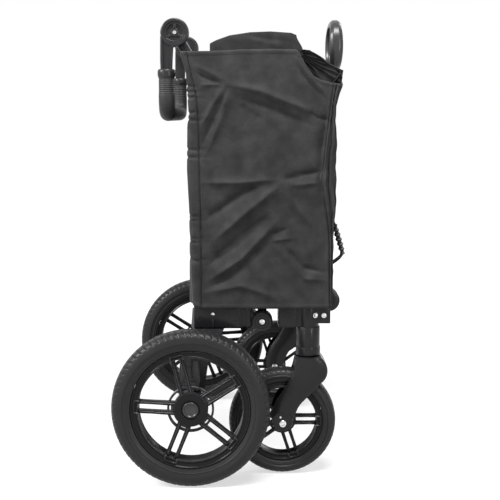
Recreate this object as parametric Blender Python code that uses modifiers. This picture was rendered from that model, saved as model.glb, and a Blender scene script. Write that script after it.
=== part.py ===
"""Folding wagon, folded and standing on its wheels.

Metres, +Z up, +X towards the front of the wagon, so -Y is its right side. Sizes are written from the rear
axle: X is measured forward of it and Z up from the ground. The whole wagon hangs from one empty, which
moves the middle of its footprint to the world origin.
"""

import math

import bmesh
import bpy
from mathutils import Matrix, Vector

# Clearances
SEAT_GAP = 0.0003
TURNING_GAP = 0.0003
BITE = 0.001
MOULDED_EDGE = 0.002

# Rear wheels
REAR_RADIUS = 0.150
REAR_TRACK = 0.570
REAR_TYRE_WIDTH = 0.050
REAR_SEAT_RADIUS = 0.113
REAR_RIM_DEPTH = 0.015
REAR_RIM_WIDTH = 0.038
REAR_TREAD_WIDTH = 0.017
REAR_STEPS = 36
REAR_BAR_WIDTH = 0.008
REAR_BAR_SPACING = 0.018
REAR_HUB_DISC = 0.033
REAR_RING_INNER = 0.040
REAR_RING_OUTER = 0.044
REAR_BAR_ANGLE = math.radians(32.5)
REAR_CAP_RADIUS = 0.0147
REAR_CAP_HEIGHT = 0.005
SPIDER_THICKNESS = 0.010
REAR_SPIDER_OUT = 0.008
HUB_BARREL = 0.017
REAR_HUB_IN = 0.024
REAR_HUB_OUT = 0.017

# Front wheels
FRONT_RADIUS = 0.105
NEST_SPACING = 0.071
FRONT_TYRE_WIDTH = 0.042
FRONT_SEAT_RADIUS = 0.078
FRONT_RIM_DEPTH = 0.012
FRONT_RIM_WIDTH = 0.032
FRONT_TREAD_WIDTH = 0.032
FRONT_STEPS = 28
FRONT_BAR_WIDTH = 0.0065
FRONT_BAR_SPACING = 0.0145
FRONT_HUB_DISC = 0.0195
FRONT_RING_INNER = 0.0235
FRONT_RING_OUTER = 0.0270
FRONT_BAR_ANGLE = 0.0
FRONT_AXLE_X = 0.175
CASTER_TRAIL = 0.050
BAR_PAIRS = 5
RIM_LIP = 0.003

# Axles and brake
AXLE_RADIUS = 0.008
FRONT_AXLE_RADIUS = 0.005
BRAKE_TEETH = 12
BRAKE_RING_OUTER = 0.031
BRAKE_RING_ROOT = 0.025
BRAKE_RING_THICK = 0.008
BRAKE_PIN_RADIUS = 0.0025
BRAKE_PIN_LENGTH = 0.022
BRAKE_PIN_REACH = 0.028
BRAKE_PIN_REST = 0.002
PEDAL_ROD_X = 0.006
PEDAL_ROD_Z = 0.212
PEDAL_ROD_RADIUS = 0.005
PEDAL_REACH = 0.084
PEDAL_WIDTH = 0.090
PEDAL_PAD_LENGTH = 0.040
PEDAL_PAD_THICK = 0.010
PEDAL_PAD_DROP = 0.006
BRAKE_UNIT_TOP = 0.236
BRAKE_UNIT_BOTTOM = 0.172
BRAKE_UNIT_HALF = 0.020
BRAKE_UNIT_THICK = 0.022
AXLE_HEAD_RADIUS = 0.007
AXLE_HEAD_HEIGHT = 0.0035

# Floor rails, which fold up between the end frames
FLOOR_Z = 0.302
REAR_PIVOT_X = 0.135
PIVOT_SPACING_FOLDED = 0.046
RAIL_HALF = 0.405
RAIL_RADIUS = 0.009
EYE_RADIUS = 0.014
PIN_RADIUS = 0.004
RAIL_PLAY = 0.0015
RAIL_TIE_RADIUS = 0.009
REAR_TIES = (0.22, 0.56)
FRONT_TIES = (0.22, 0.80)
MAT_OVERHANG = 0.006
MAT_THICK = 0.022
MAT_MARGIN = 0.012

# End frames
POST_INSET = 0.039
POST_RADIUS = 0.0105
TUBE_WALL = 0.0015
REAR_POST_X = 0.022
FRONT_POST_X = 0.252
POST_FOOT_Z = 0.304
REAR_POST_BEND_Z = 0.765
REAR_POST_CURVE = 0.06
FRONT_POST_TOP = 0.775
CROSS_RADIUS = 0.010
UPPER_CROSS_RADIUS = 0.009
UPPER_CROSS_Z = 0.745
REAR_CROSS_X = 0.060
FRONT_CROSS_X = 0.232
CROSS_Z = 0.310
WHEEL_TO_BRACKET = 0.051
BRACKET_WIDTH = 0.054
HUB_PLATE_THICK = 0.028
BRACKET_TOP = 0.332
BRACKET_BOTTOM = 0.288
REAR_BRACKET_BACK = 0.004
REAR_BRACKET_FRONT = 0.096
RAIL_HUB_RADIUS = 0.0205
RECESS_INSET = 0.0105
RECESS_Z = 0.308
RECESS_SIZE = 0.010
RECESS_DEPTH = 0.0015
FRONT_BRACKET_BACK = 0.166
FRONT_BRACKET_FRONT = 0.267
FRONT_BRACKET_INSET = 0.004
FRONT_BRACKET_BOTTOM = 0.290
FRONT_BRACKET_STEP = 0.007
BOLT_HEAD_RADIUS = 0.0052
BOLT_HEAD_HEIGHT = 0.003
SLEEVE_BOLT_X = 0.2374
BRACKET_BOLT_X = 0.2540
BRACKET_BOLT_Z = 0.3135
SLEEVE_RADIUS = 0.0205
SLEEVE_LOWER_RADIUS = 0.0228
SLEEVE_RING_RADIUS = 0.0238
SLEEVE_RING_TOP = 0.2515
SLEEVE_BOTTOM = 0.234
LEG_BOSS_RADIUS = 0.021
LEG_SPACER_REACH = 0.020
LEG_KNEE_Z = 0.240
LEG_KNEE_BACK = 0.006
LEG_KNEE_FRONT = 0.034
LEG_TOP_FRONT = 0.062
SPACER_RADIUS = 0.016

# Caster forks
FORK_HALF_WIDTH = 0.030
FORK_SLOT_HALF = 0.0245
FORK_PLAY = 0.001
FORK_WELL_RADIUS = 0.110
FORK_CROWN_TOP = 0.2325
FORK_CROWN_BACK = 0.0245
FORK_NOSE = 0.037
FORK_BOSS_RADIUS = 0.0215
FORK_BOSS_RISE = 0.004
STEM_RADIUS = 0.008
STEM_LENGTH = 0.045

# Push handle
HANDLE_HUB_X = -0.030
HANDLE_HUB_Z = 0.852
HANDLE_HUB_RADIUS = 0.027
HANDLE_ARM_THICK = 0.016
ARM_NECK_HALF = 0.0105
HANDLE_BUTTON_RADIUS = 0.010
HANDLE_BAR_X = -0.046
HANDLE_BAR_Z = 0.701
HANDLE_BAR_RADIUS = 0.0152
HANDLE_BEND = 0.036
COLLAR_RADIUS = 0.0168
COLLAR_TOP = 0.782
COLLAR_HEIGHT = 0.014
CHEEK_RADIUS = 0.026
CHEEK_INSET = 0.008

# Pull bar
PULL_X = 0.283
PULL_PIVOT_Z = 0.302
PULL_KNUCKLE_RADIUS = 0.0235
PULL_EAR_OUT = 0.020
PULL_EAR_THICK = 0.0075
PULL_EYE_RADIUS = 0.016
PULL_EYE_WIDTH = 0.024
PULL_OUTER_RADIUS = 0.0105
PULL_COLLAR_RADIUS = 0.0117
PULL_COLLAR_HEIGHT = 0.028
PULL_BORE_RADIUS = 0.0086
PULL_INNER_RADIUS = 0.0083
PULL_OUTER_TOP = 0.620
PULL_INNER_BOTTOM = 0.350
GRIP_BOTTOM = 0.788
GRIP_HEIGHT = 0.108
GRIP_WIDTH = 0.120
GRIP_DEPTH = 0.025
GRIP_BAR = 0.016
GRIP_FORWARD = 0.009
GRIP_SOCKET_RADIUS = 0.011
GRIP_SOCKET_HEIGHT = 0.021

# Fabric body
FABRIC_CLEARANCE = 0.004
FABRIC_THICK = 0.003
FABRIC_BOTTOM = 0.328
END_WALL_BOTTOM = 0.336
SIDE_BACK = -0.004
SIDE_FRONT = 0.262
SIDE_FOLD_DEPTH = 0.0048
SIDE_TOP_FLARE = 0.014
SIDE_TOP = 0.815
SIDE_CORNER_Z = 0.755
SIDE_TOP_LINE = ((-0.020, SIDE_TOP), (0.026, 0.829), (0.106, 0.847), (0.198, 0.844), (0.211, 0.812),
                 (0.230, 0.769), (SIDE_FRONT, SIDE_CORNER_Z))
REAR_WALL_TOP = 0.745
REAR_WALL_OUT = -0.004
FRONT_WALL_TOP = 0.768
FRONT_WALL_OUT = 0.2692
FRONT_WALL_DIP = 0.001
REAR_WALL_PAD = 0.005
WALL_WAVE = 0.003
HEM_WIDTH = 0.0115
HEM_THICK = 0.006
HEM_CORNER_FLARE = 0.0115
HEM_FLARE_HEIGHT = 0.040

# Holding strap
STRAP_TOP = 0.520
STRAP_BOTTOM = 0.414
STRAP_WIDTH = 0.022
STRAP_THICK = 0.0025
STRAP_INSET = 0.008
BUCKLE_TOP = 0.487
BUCKLE_BOTTOM = 0.428
BUCKLE_THICK = 0.008
BUCKLE_HANG = 0.0208

# Values that follow from those above
REAR_AXLE_Z = REAR_RADIUS * math.cos(math.pi / REAR_STEPS)
FRONT_AXLE_Z = FRONT_RADIUS * math.cos(math.pi / FRONT_STEPS)
REAR_WHEEL_Y = REAR_TRACK / 2
FRONT_WHEEL_Y = REAR_WHEEL_Y - NEST_SPACING
BRACKET_OUTER_Y = REAR_WHEEL_Y - WHEEL_TO_BRACKET
BRACKET_INNER_Y = BRACKET_OUTER_Y - BRACKET_WIDTH
HUB_PLATE_INNER_Y = BRACKET_OUTER_Y - HUB_PLATE_THICK
FRONT_BRACKET_OUTER_Y = BRACKET_OUTER_Y - FRONT_BRACKET_INSET
LEG_OUT_Y = BRACKET_OUTER_Y + LEG_SPACER_REACH
POST_Y = BRACKET_OUTER_Y - POST_INSET
CHEEK_INNER_Y = POST_Y - CHEEK_INSET
HANDLE_ARM_INNER_Y = POST_Y + POST_RADIUS + TURNING_GAP
REAR_RAIL_Y = HUB_PLATE_INNER_Y - RAIL_RADIUS - RAIL_PLAY
FRONT_RAIL_Y = BRACKET_INNER_Y - RAIL_RADIUS - RAIL_PLAY
MAT_HALF_WIDTH = FRONT_RAIL_Y + MAT_OVERHANG
FABRIC_Y = BRACKET_OUTER_Y + FABRIC_CLEARANCE
REAR_RIM_INNER = REAR_SEAT_RADIUS - REAR_RIM_DEPTH
FRONT_RIM_INNER = FRONT_SEAT_RADIUS - FRONT_RIM_DEPTH
CASTER_X = FRONT_AXLE_X + CASTER_TRAIL
FRONT_PIVOT_X = REAR_PIVOT_X + PIVOT_SPACING_FOLDED
FOLD_ANGLE = math.acos(PIVOT_SPACING_FOLDED / 2 / RAIL_HALF)
HINGE_X = REAR_PIVOT_X + RAIL_HALF * math.cos(FOLD_ANGLE)
HINGE_Z = FLOOR_Z + RAIL_HALF * math.sin(FOLD_ANGLE)
HANDLE_ARM_Y = HANDLE_ARM_INNER_Y + HANDLE_ARM_THICK / 2
REAR_END = -REAR_AXLE_Z
FRONT_END = PULL_X + PULL_KNUCKLE_RADIUS
ORIGIN_X = (REAR_END + FRONT_END) / 2
END_WALL_HALF = FABRIC_Y - SEAT_GAP
REAR_WALL_IN = REAR_POST_X - POST_RADIUS - SEAT_GAP
FRONT_WALL_IN = FRONT_POST_X + POST_RADIUS + SEAT_GAP
GRIP_TOP = GRIP_BOTTOM + GRIP_HEIGHT
SLEEVE_BOLT_Y = FRONT_WHEEL_Y + math.sqrt(SLEEVE_RADIUS ** 2 - (SLEEVE_BOLT_X - CASTER_X) ** 2)

SIDES = (("right", -1), ("left", 1))

MATERIALS = {
    "tyre_rubber": ((0.020, 0.020, 0.021), 0.72, 0.0),
    "wheel_plastic": ((0.014, 0.014, 0.015), 0.42, 0.0),
    "frame_paint": ((0.016, 0.016, 0.017), 0.38, 0.4),
    "moulded_black": ((0.015, 0.015, 0.016), 0.45, 0.0),
    "grip_foam": ((0.024, 0.024, 0.025), 0.60, 0.0),
    "bare_steel": ((0.62, 0.62, 0.63), 0.28, 1.0),
    "grey_plastic": ((0.38, 0.38, 0.39), 0.45, 0.0),
    "dark_fabric": ((0.045, 0.045, 0.047), 0.80, 0.0),
}

# Scene, collections and materials


def clear_scene():
    """Removes what the start-up file holds."""
    for obj in list(bpy.data.objects):
        bpy.data.objects.remove(obj)


def make_collection(name):
    """A collection under the scene's own."""
    collection = bpy.data.collections.new(name)
    bpy.context.scene.collection.children.link(collection)
    return collection


def material(name):
    """The named material, made on its first use."""
    found = bpy.data.materials.get(name)
    if found:
        return found
    colour, roughness, metallic = MATERIALS[name]
    made = bpy.data.materials.new(name)
    made.use_nodes = True
    shader = made.node_tree.nodes["Principled BSDF"]
    shader.inputs["Base Color"].default_value = (*colour, 1.0)
    shader.inputs["Roughness"].default_value = roughness
    shader.inputs["Metallic"].default_value = metallic
    made.diffuse_color = (*colour, 1.0)
    return made


clear_scene()
WAGON_PARTS = make_collection("folding_wagon")
CUTTERS = make_collection("cutters")


def group(name, x=0.0, y=0.0, z=0.0, parent=None, turn=(0.0, 0.0, 0.0)):
    """An empty that carries the pieces of one moving body, standing on that body's joint axis."""
    empty = bpy.data.objects.new(name, None)
    empty.location = Vector((x, y, z))
    empty.rotation_euler = turn
    empty.parent = parent
    WAGON_PARTS.objects.link(empty)
    return empty


def place(obj, parent, finish=None, collection=None):
    """Links an object, parents it to its body's empty and gives it its material."""
    (collection or WAGON_PARTS).objects.link(obj)
    obj.parent = parent
    if finish:
        obj.data.materials.clear()
        obj.data.materials.append(material(finish))
    return obj


def helper(obj):
    """Marks a cutter, or a shape that a Boolean joins to another."""
    for collection in list(obj.users_collection):
        collection.objects.unlink(obj)
    CUTTERS.objects.link(obj)
    obj.hide_render = True
    obj.display_type = "WIRE"
    return obj


def boolean(base, others, operation):
    """Joins the others to the base, or cuts them from it."""
    for other in others:
        helper(other)
        modifier = base.modifiers.new(other.name, "BOOLEAN")
        modifier.operation = operation
        modifier.solver = "EXACT"
        modifier.object = other
    return base


def join(base, *others):
    return boolean(base, others, "UNION")


def cut(base, *others):
    return boolean(base, others, "DIFFERENCE")


def meshed(obj):
    """The curve object as a mesh object in the same place, its caps welded on."""
    bpy.context.view_layer.update()
    evaluated = obj.evaluated_get(bpy.context.evaluated_depsgraph_get())
    mesh = bpy.data.meshes.new_from_object(evaluated)
    form = bmesh.new()
    form.from_mesh(mesh)
    bmesh.ops.remove_doubles(form, verts=form.verts, dist=1e-6)
    bmesh.ops.recalc_face_normals(form, faces=form.faces)
    form.to_mesh(mesh)
    form.free()
    name, parent, where = obj.name, obj.parent, obj.matrix_world.copy()
    homes = list(obj.users_collection)
    bpy.data.objects.remove(obj)
    made = bpy.data.objects.new(name, mesh)
    for home in homes:
        home.objects.link(made)
    made.parent = parent
    made.matrix_world = where
    return made


def smooth(obj, angle=35.0):
    """Smooth shading, sharp where faces meet at more than the angle."""
    obj.data.shade_smooth()
    obj.data.set_sharp_from_angle(angle=math.radians(angle))
    return obj


# Outlines and paths


def arc(cx, cy, radius, start, end, count):
    """Points on an arc from start to end, in radians, both ends included."""
    return [
        (cx + radius * math.cos(start + (end - start) * i / count),
         cy + radius * math.sin(start + (end - start) * i / count))
        for i in range(count + 1)
    ]


def circle(cx, cy, radius, count):
    """A full circle without a doubled end."""
    return arc(cx, cy, radius, 0.0, math.tau, count)[:-1]


def filleted(points, radius, steps=3, closed=True):
    """The polyline with each corner rounded to the radius, or less where its sides are short."""
    points = [Vector(p) for p in points]
    made = []
    count = len(points)
    for i, corner in enumerate(points):
        if not closed and i in (0, count - 1):
            made.append(corner)
            continue
        back = points[i - 1] - corner
        ahead = points[(i + 1) % count] - corner
        half = back.angle(ahead) / 2
        reach = min(radius / math.tan(half), back.length * 0.49, ahead.length * 0.49)
        if half > math.radians(88):
            made.append(corner)
            continue
        start = corner + back.normalized() * reach
        end = corner + ahead.normalized() * reach
        bisector = (back.normalized() + ahead.normalized()).normalized()
        centre = corner + bisector * (reach / math.cos(half))
        first, last = start - centre, end - centre
        turn = first.angle(last)
        for step in range(steps + 1):
            share = step / steps
            made.append(
                centre
                + first * (math.sin((1 - share) * turn) / math.sin(turn))
                + last * (math.sin(share * turn) / math.sin(turn))
            )
    return made


# Basic forms


def plate(name, loops, thickness, parent, finish=None, at=(0.0, 0.0, 0.0), turn=(math.pi / 2, 0.0, 0.0),
          edge=0.0):
    """A flat outline with holes, extruded to its thickness about its own plane.

    The outline's second coordinate points up and its normal towards -Y. edge rounds its rims off.
    """
    curve = bpy.data.curves.new(name, "CURVE")
    curve.dimensions = "2D"
    curve.fill_mode = "BOTH"
    curve.extrude = thickness / 2 - edge
    curve.bevel_depth = edge
    curve.bevel_resolution = 0
    curve.offset = -edge
    for loop in loops:
        spline = curve.splines.new("POLY")
        spline.points.add(len(loop) - 1)
        for point, (x, y) in zip(spline.points, [(p[0], p[1]) for p in loop]):
            point.co = (x, y, 0.0, 1.0)
        spline.use_cyclic_u = True
    obj = place(bpy.data.objects.new(name, curve), parent)
    obj.location = Vector(at)
    obj.rotation_euler = turn
    obj = meshed(obj)
    if finish:
        obj.data.materials.append(material(finish))
    return obj


def tube(name, points, radius, parent, finish=None, sides=3, closed=False):
    """A round bar along the points. sides is the curve's bevel resolution."""
    curve = bpy.data.curves.new(name, "CURVE")
    curve.dimensions = "3D"
    curve.bevel_depth = radius
    curve.bevel_resolution = sides
    curve.use_fill_caps = not closed
    spline = curve.splines.new("POLY")
    spline.points.add(len(points) - 1)
    for point, where in zip(spline.points, points):
        point.co = (*where, 1.0)
    spline.use_cyclic_u = closed
    obj = meshed(place(bpy.data.objects.new(name, curve), parent))
    if finish:
        obj.data.materials.append(material(finish))
    return smooth(obj, 50)


def turned(name, profile, parent, finish=None, steps=24, ring=True, at=(0.0, 0.0, 0.0), turn=(0.0, 0.0, 0.0)):
    """A profile of (radius, height) turned round its own Z.

    A ring's profile is closed, another's ends on the axis.
    """
    points = list(profile)
    if ring:
        area = sum(a[0] * b[1] - b[0] * a[1] for a, b in zip(points, points[1:] + points[:1]))
        if area > 0:
            points.reverse()
    elif points[0][1] < points[-1][1]:
        points.reverse()
    mesh = bpy.data.meshes.new(name)
    form = bmesh.new()
    made = [form.verts.new((radius, 0.0, height)) for radius, height in points]
    for a, b in zip(made, made[1:]):
        form.edges.new((a, b))
    if ring:
        form.edges.new((made[-1], made[0]))
    form.to_mesh(mesh)
    form.free()
    obj = place(bpy.data.objects.new(name, mesh), parent, finish)
    screw = obj.modifiers.new("turn", "SCREW")
    screw.axis = "Z"
    screw.steps = screw.render_steps = steps
    screw.use_merge_vertices = True
    screw.merge_threshold = 1e-6
    screw.use_smooth_shade = True
    obj.location = Vector(at)
    obj.rotation_euler = turn
    return obj


def rod(name, radius, low, high, parent, finish=None, steps=16, at=(0.0, 0.0, 0.0), turn=(0.0, 0.0, 0.0)):
    """A plain cylinder along its own Z."""
    profile = [(0.0, high), (radius, high), (radius, low), (0.0, low)]
    return turned(name, profile, parent, finish, steps, False, at, turn)


def pipe(name, radius, low, high, parent, finish, steps=16, at=(0.0, 0.0, 0.0), turn=(0.0, 0.0, 0.0)):
    """A straight tube with open ends, along its own Z."""
    bore = radius - TUBE_WALL
    profile = [(radius, low), (radius, high), (bore, high), (bore, low)]
    return turned(name, profile, parent, finish, steps, True, at, turn)


def block(name, low, high, parent, finish=None, edge=0.0, segments=1):
    """A box between two corners, with its edges bevelled."""
    low, high = Vector(low), Vector(high)
    mesh = bpy.data.meshes.new(name)
    form = bmesh.new()
    bmesh.ops.create_cube(form, size=1.0)
    bmesh.ops.scale(form, vec=high - low, verts=form.verts)
    bmesh.ops.translate(form, vec=(low + high) / 2, verts=form.verts)
    form.to_mesh(mesh)
    form.free()
    obj = place(bpy.data.objects.new(name, mesh), parent, finish)
    if edge:
        bevel = obj.modifiers.new("edges", "BEVEL")
        bevel.width = edge
        bevel.segments = segments
    return obj


def mirrored_y(side, a, b):
    """The two distances from the middle plane as ordered Y values on one side."""
    return tuple(sorted((side * a, side * b)))


# Wheels


def spider_loops(end, disc, ring_in, ring_out, width, spacing, angle, bore):
    """The outline and the holes of a spoke plate: pairs of parallel bars that leave a hub disc.

    Between the bars of a pair runs a slot, round at the hub. A ring ties the pairs, with a short curved hole
    inside it between one pair and the next. The bars end inside the rim's barrel.
    """
    pitch = math.tau / BAR_PAIRS
    flank = spacing / 2 + width / 2
    inside = spacing / 2 - width / 2
    reach = math.sqrt(end * end - flank * flank)
    outline, holes = [], []
    for k in range(BAR_PAIRS):
        here = angle + k * pitch
        there = here + pitch
        slot = arc(disc + 1.4 * inside, 0, inside, math.pi * 1.5, math.pi * 0.5, 3)
        pair = [(reach, -flank), (reach, -inside), *slot, (reach, inside), (reach, flank)]
        spin = Matrix.Rotation(here, 2)
        outline += [tuple(spin @ Vector(p)) for p in pair]
        lean = math.asin(flank / ring_out)
        outline += arc(0, 0, ring_out, here + lean, there - lean, 2)
        wall = flank + 0.03 * width + TURNING_GAP / 2
        under = max(disc - 1.5 * BITE, wall / math.sin(pitch / 2) + TURNING_GAP)
        lean, low = math.asin(wall / ring_in), math.asin(wall / under)
        rim_side = arc(0, 0, ring_in, here + lean, there - lean, 2)
        holes.append(rim_side + arc(0, 0, under, there - low, here + low, 1))
    return [outline, circle(0, 0, bore, 8), *holes]


def tyre_profile(radius, seat, width, tread):
    """Flat tread, rounded shoulders, a bulging wall and the bead, as half a section mirrored."""
    shoulder = (0.4 * tread + 0.6 * width) / 2
    outer = [(radius, tread / 2), (radius - 0.10 * width, shoulder), (radius - 0.36 * width, 0.5 * width),
             (seat + SEAT_GAP, 0.36 * width)]
    return outer + [(r, -z) for r, z in reversed(outer)]


def rim_profile(seat, inner, width):
    """The rim's barrel: a flat seat outside, lips at both edges and a waisted inside."""
    half = width / 2
    waist = inner + 0.3 * (seat - inner)
    return [(seat, half - RIM_LIP), (seat - RIM_LIP, half), (inner, half), (waist, 0.0), (inner, -half),
            (seat, -half)]


def spoke_end(seat, inner):
    """Radius inside the rim's section, where the bars end."""
    return inner + 0.6 * (seat - inner)


def build_tyre(name, body, radius, seat, width, tread, steps):
    """One tyre, turned half a step so that it stands on a flat."""
    half_step = math.pi / steps
    profile = tyre_profile(radius, seat, width, tread)
    return turned(name, profile, body, "tyre_rubber", steps, True, (0, 0, 0), (0.0, 0.0, half_step))


def build_rear_wheel(word, side, root):
    """Tyre, rim with its spokes and hub, hub cap and toothed brake ring, on one spinning body."""
    body = group(f"rear_wheel_{word}", 0.0, side * REAR_WHEEL_Y, REAR_AXLE_Z, root,
                 (math.pi / 2, 0.0, 0.0 if side < 0 else math.pi))
    build_tyre(f"rear_tyre_{word}", body, REAR_RADIUS, REAR_SEAT_RADIUS, REAR_TYRE_WIDTH, REAR_TREAD_WIDTH,
               REAR_STEPS)
    bore = AXLE_RADIUS + TURNING_GAP
    end = spoke_end(REAR_SEAT_RADIUS, REAR_RIM_INNER)
    loops = spider_loops(end, REAR_HUB_DISC, REAR_RING_INNER, REAR_RING_OUTER, REAR_BAR_WIDTH, REAR_BAR_SPACING,
                         REAR_BAR_ANGLE, 0.8 * HUB_BARREL)
    rim = plate(f"rear_rim_{word}", loops, SPIDER_THICKNESS, body, "wheel_plastic", (0, 0, REAR_SPIDER_OUT),
                (0, 0, 0))
    barrel = turned(f"rear_barrel_{word}", rim_profile(REAR_SEAT_RADIUS, REAR_RIM_INNER, REAR_RIM_WIDTH),
                    body, steps=REAR_STEPS, turn=(0.0, 0.0, math.pi / REAR_STEPS))
    face = REAR_SPIDER_OUT + SPIDER_THICKNESS / 2
    back = face - SPIDER_THICKNESS - BITE
    hub = turned(f"rear_hub_{word}",
                 [(bore, REAR_HUB_OUT), (0.88 * REAR_HUB_DISC, REAR_HUB_OUT), (REAR_HUB_DISC, face),
                  (REAR_HUB_DISC, back), (HUB_BARREL, back), (HUB_BARREL, -REAR_HUB_IN), (bore, -REAR_HUB_IN)],
                 body, steps=16)
    join(rim, barrel, hub)
    smooth(rim)
    seat = REAR_HUB_OUT + SEAT_GAP
    turned(f"rear_hub_cap_{word}",
           [(0.0, seat + REAR_CAP_HEIGHT), (0.6 * REAR_CAP_RADIUS, seat + 0.96 * REAR_CAP_HEIGHT),
            (REAR_CAP_RADIUS, seat + 0.6 * REAR_CAP_HEIGHT), (REAR_CAP_RADIUS, seat), (0.0, seat)],
           body, "moulded_black", 16, False)
    build_brake_ring(word, body)
    return body


def build_brake_ring(word, body):
    """A toothed ring round the hub's inner end. Its gaps stand where the brake pin enters."""
    pitch = math.tau / BRAKE_TEETH
    teeth = []
    for k in range(BRAKE_TEETH):
        start = (k + 0.25) * pitch
        end = (k + 0.75) * pitch
        teeth += arc(0, 0, BRAKE_RING_OUTER, start, end, 1)
        teeth += arc(0, 0, BRAKE_RING_ROOT, end, start + pitch, 1)
    inner_end = -REAR_HUB_IN
    bore = circle(0, 0, (HUB_BARREL + SEAT_GAP) / math.cos(math.pi / 16), 16)
    plate(f"brake_ring_{word}", [teeth, bore], BRAKE_RING_THICK, body, "moulded_black",
          (0, 0, inner_end + BRAKE_RING_THICK / 2), (0, 0, 0))


def build_front_wheel(word, side, caster):
    """Tyre and rim of a swivelling wheel, whose hub fills the fork."""
    body = group(f"front_wheel_{word}", -CASTER_TRAIL, 0.0, FRONT_AXLE_Z, caster,
                 (math.pi / 2, 0.0, 0.0 if side < 0 else math.pi))
    build_tyre(f"front_tyre_{word}", body, FRONT_RADIUS, FRONT_SEAT_RADIUS, FRONT_TYRE_WIDTH,
               FRONT_TREAD_WIDTH, FRONT_STEPS)
    end = spoke_end(FRONT_SEAT_RADIUS, FRONT_RIM_INNER)
    loops = spider_loops(end, FRONT_HUB_DISC, FRONT_RING_INNER, FRONT_RING_OUTER, FRONT_BAR_WIDTH,
                         FRONT_BAR_SPACING, FRONT_BAR_ANGLE, 0.55 * FRONT_HUB_DISC)
    rim = plate(f"front_rim_{word}", loops, SPIDER_THICKNESS, body, "wheel_plastic", (0, 0, 0), (0, 0, 0))
    barrel = turned(f"front_barrel_{word}", rim_profile(FRONT_SEAT_RADIUS, FRONT_RIM_INNER, FRONT_RIM_WIDTH),
                    body, steps=FRONT_STEPS, turn=(0.0, 0.0, math.pi / FRONT_STEPS))
    bore = FRONT_AXLE_RADIUS + TURNING_GAP
    reach = FORK_SLOT_HALF - FORK_PLAY
    barrel_radius = FRONT_HUB_DISC * 0.75
    hub = turned(f"front_hub_{word}",
                 [(bore, reach), (barrel_radius, reach), (FRONT_HUB_DISC, SPIDER_THICKNESS * 0.6),
                  (FRONT_HUB_DISC, -SPIDER_THICKNESS * 0.6), (barrel_radius, -reach), (bore, -reach)],
                 body, steps=16)
    join(rim, barrel, hub)
    smooth(rim)


# Casters


def fork_outline():
    """Side view of the fork, forward of the caster's post: a crown that sweeps back to the axle boss."""
    top = FORK_CROWN_TOP
    boss_x = -CASTER_TRAIL
    boss_z = FRONT_AXLE_Z + FORK_BOSS_RISE
    drop = top - boss_z
    back = [(boss_x - FORK_BOSS_RADIUS, boss_z), (boss_x - 0.93 * FORK_BOSS_RADIUS, boss_z + 0.15 * drop),
            (boss_x - 0.70 * FORK_BOSS_RADIUS, boss_z + 0.32 * drop), (0.85 * boss_x, top - 0.45 * drop),
            (0.64 * boss_x, top - 0.27 * drop), (-1.06 * FORK_CROWN_BACK, top - 0.10 * drop),
            (-FORK_CROWN_BACK, top)]
    front = [(0.58 * FORK_NOSE, top), (0.84 * FORK_NOSE, top - 0.08 * drop), (FORK_NOSE, top - 0.20 * drop),
             (0.93 * FORK_NOSE, top - 0.31 * drop), (0.62 * FORK_NOSE, top - 0.43 * drop),
             (0.05 * FORK_NOSE, top - 0.60 * drop), (0.45 * boss_x, top - 0.79 * drop)]
    boss = arc(boss_x, boss_z, FORK_BOSS_RADIUS, math.radians(-8), math.radians(-165), 7)
    return back + front + boss


def build_caster(word, side, front):
    """Fork with its stem, and the wheel's axle bolt, on one swivelling body."""
    body = group(f"caster_{word}", CASTER_X, side * FRONT_WHEEL_Y, 0.0, front)
    fork = plate(f"caster_fork_{word}", [fork_outline()], 2 * FORK_HALF_WIDTH, body, "moulded_black",
                 edge=MOULDED_EDGE)
    axle, across = (-CASTER_TRAIL, 0.0, FRONT_AXLE_Z), (math.pi / 2, 0.0, 0.0)
    well = rod(f"fork_well_{word}", FORK_WELL_RADIUS, -FORK_SLOT_HALF, FORK_SLOT_HALF, body, None, 32, axle,
               across)
    bore = rod(f"fork_bore_{word}", FRONT_AXLE_RADIUS + TURNING_GAP, -2 * FORK_HALF_WIDTH, 2 * FORK_HALF_WIDTH,
               body, None, 12, axle, across)
    stem = rod(f"fork_stem_{word}", STEM_RADIUS, FORK_CROWN_TOP - 1.5 * STEM_RADIUS,
               FORK_CROWN_TOP + STEM_LENGTH, body, steps=14)
    cut(fork, well, bore)
    join(fork, stem)
    smooth(fork)
    head = FORK_HALF_WIDTH + SEAT_GAP
    turned(f"front_axle_{word}",
           [(0.0, head + AXLE_HEAD_HEIGHT), (0.7 * AXLE_HEAD_RADIUS, head + AXLE_HEAD_HEIGHT),
            (AXLE_HEAD_RADIUS, head + 0.6 * AXLE_HEAD_HEIGHT), (AXLE_HEAD_RADIUS, head),
            (FRONT_AXLE_RADIUS, head), (FRONT_AXLE_RADIUS, -head), (AXLE_HEAD_RADIUS, -head),
            (AXLE_HEAD_RADIUS, -head - AXLE_HEAD_HEIGHT), (0.0, -head - AXLE_HEAD_HEIGHT)],
           body, "bare_steel", 12, False, axle, across)
    build_front_wheel(word, side, body)


def bolt_head(name, x, y, z, side, sunk, parent):
    """Domed bolt head that faces outwards, with a short shank sunk into what carries it."""
    return turned(name,
                  [(0.0, BOLT_HEAD_HEIGHT), (0.6 * BOLT_HEAD_RADIUS, BOLT_HEAD_HEIGHT),
                   (BOLT_HEAD_RADIUS, 0.5 * BOLT_HEAD_HEIGHT), (BOLT_HEAD_RADIUS, -sunk), (0.0, -sunk)],
                  parent, None, 12, False, (x, side * y, z), (math.pi / 2, 0.0, 0.0 if side < 0 else math.pi))


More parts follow.
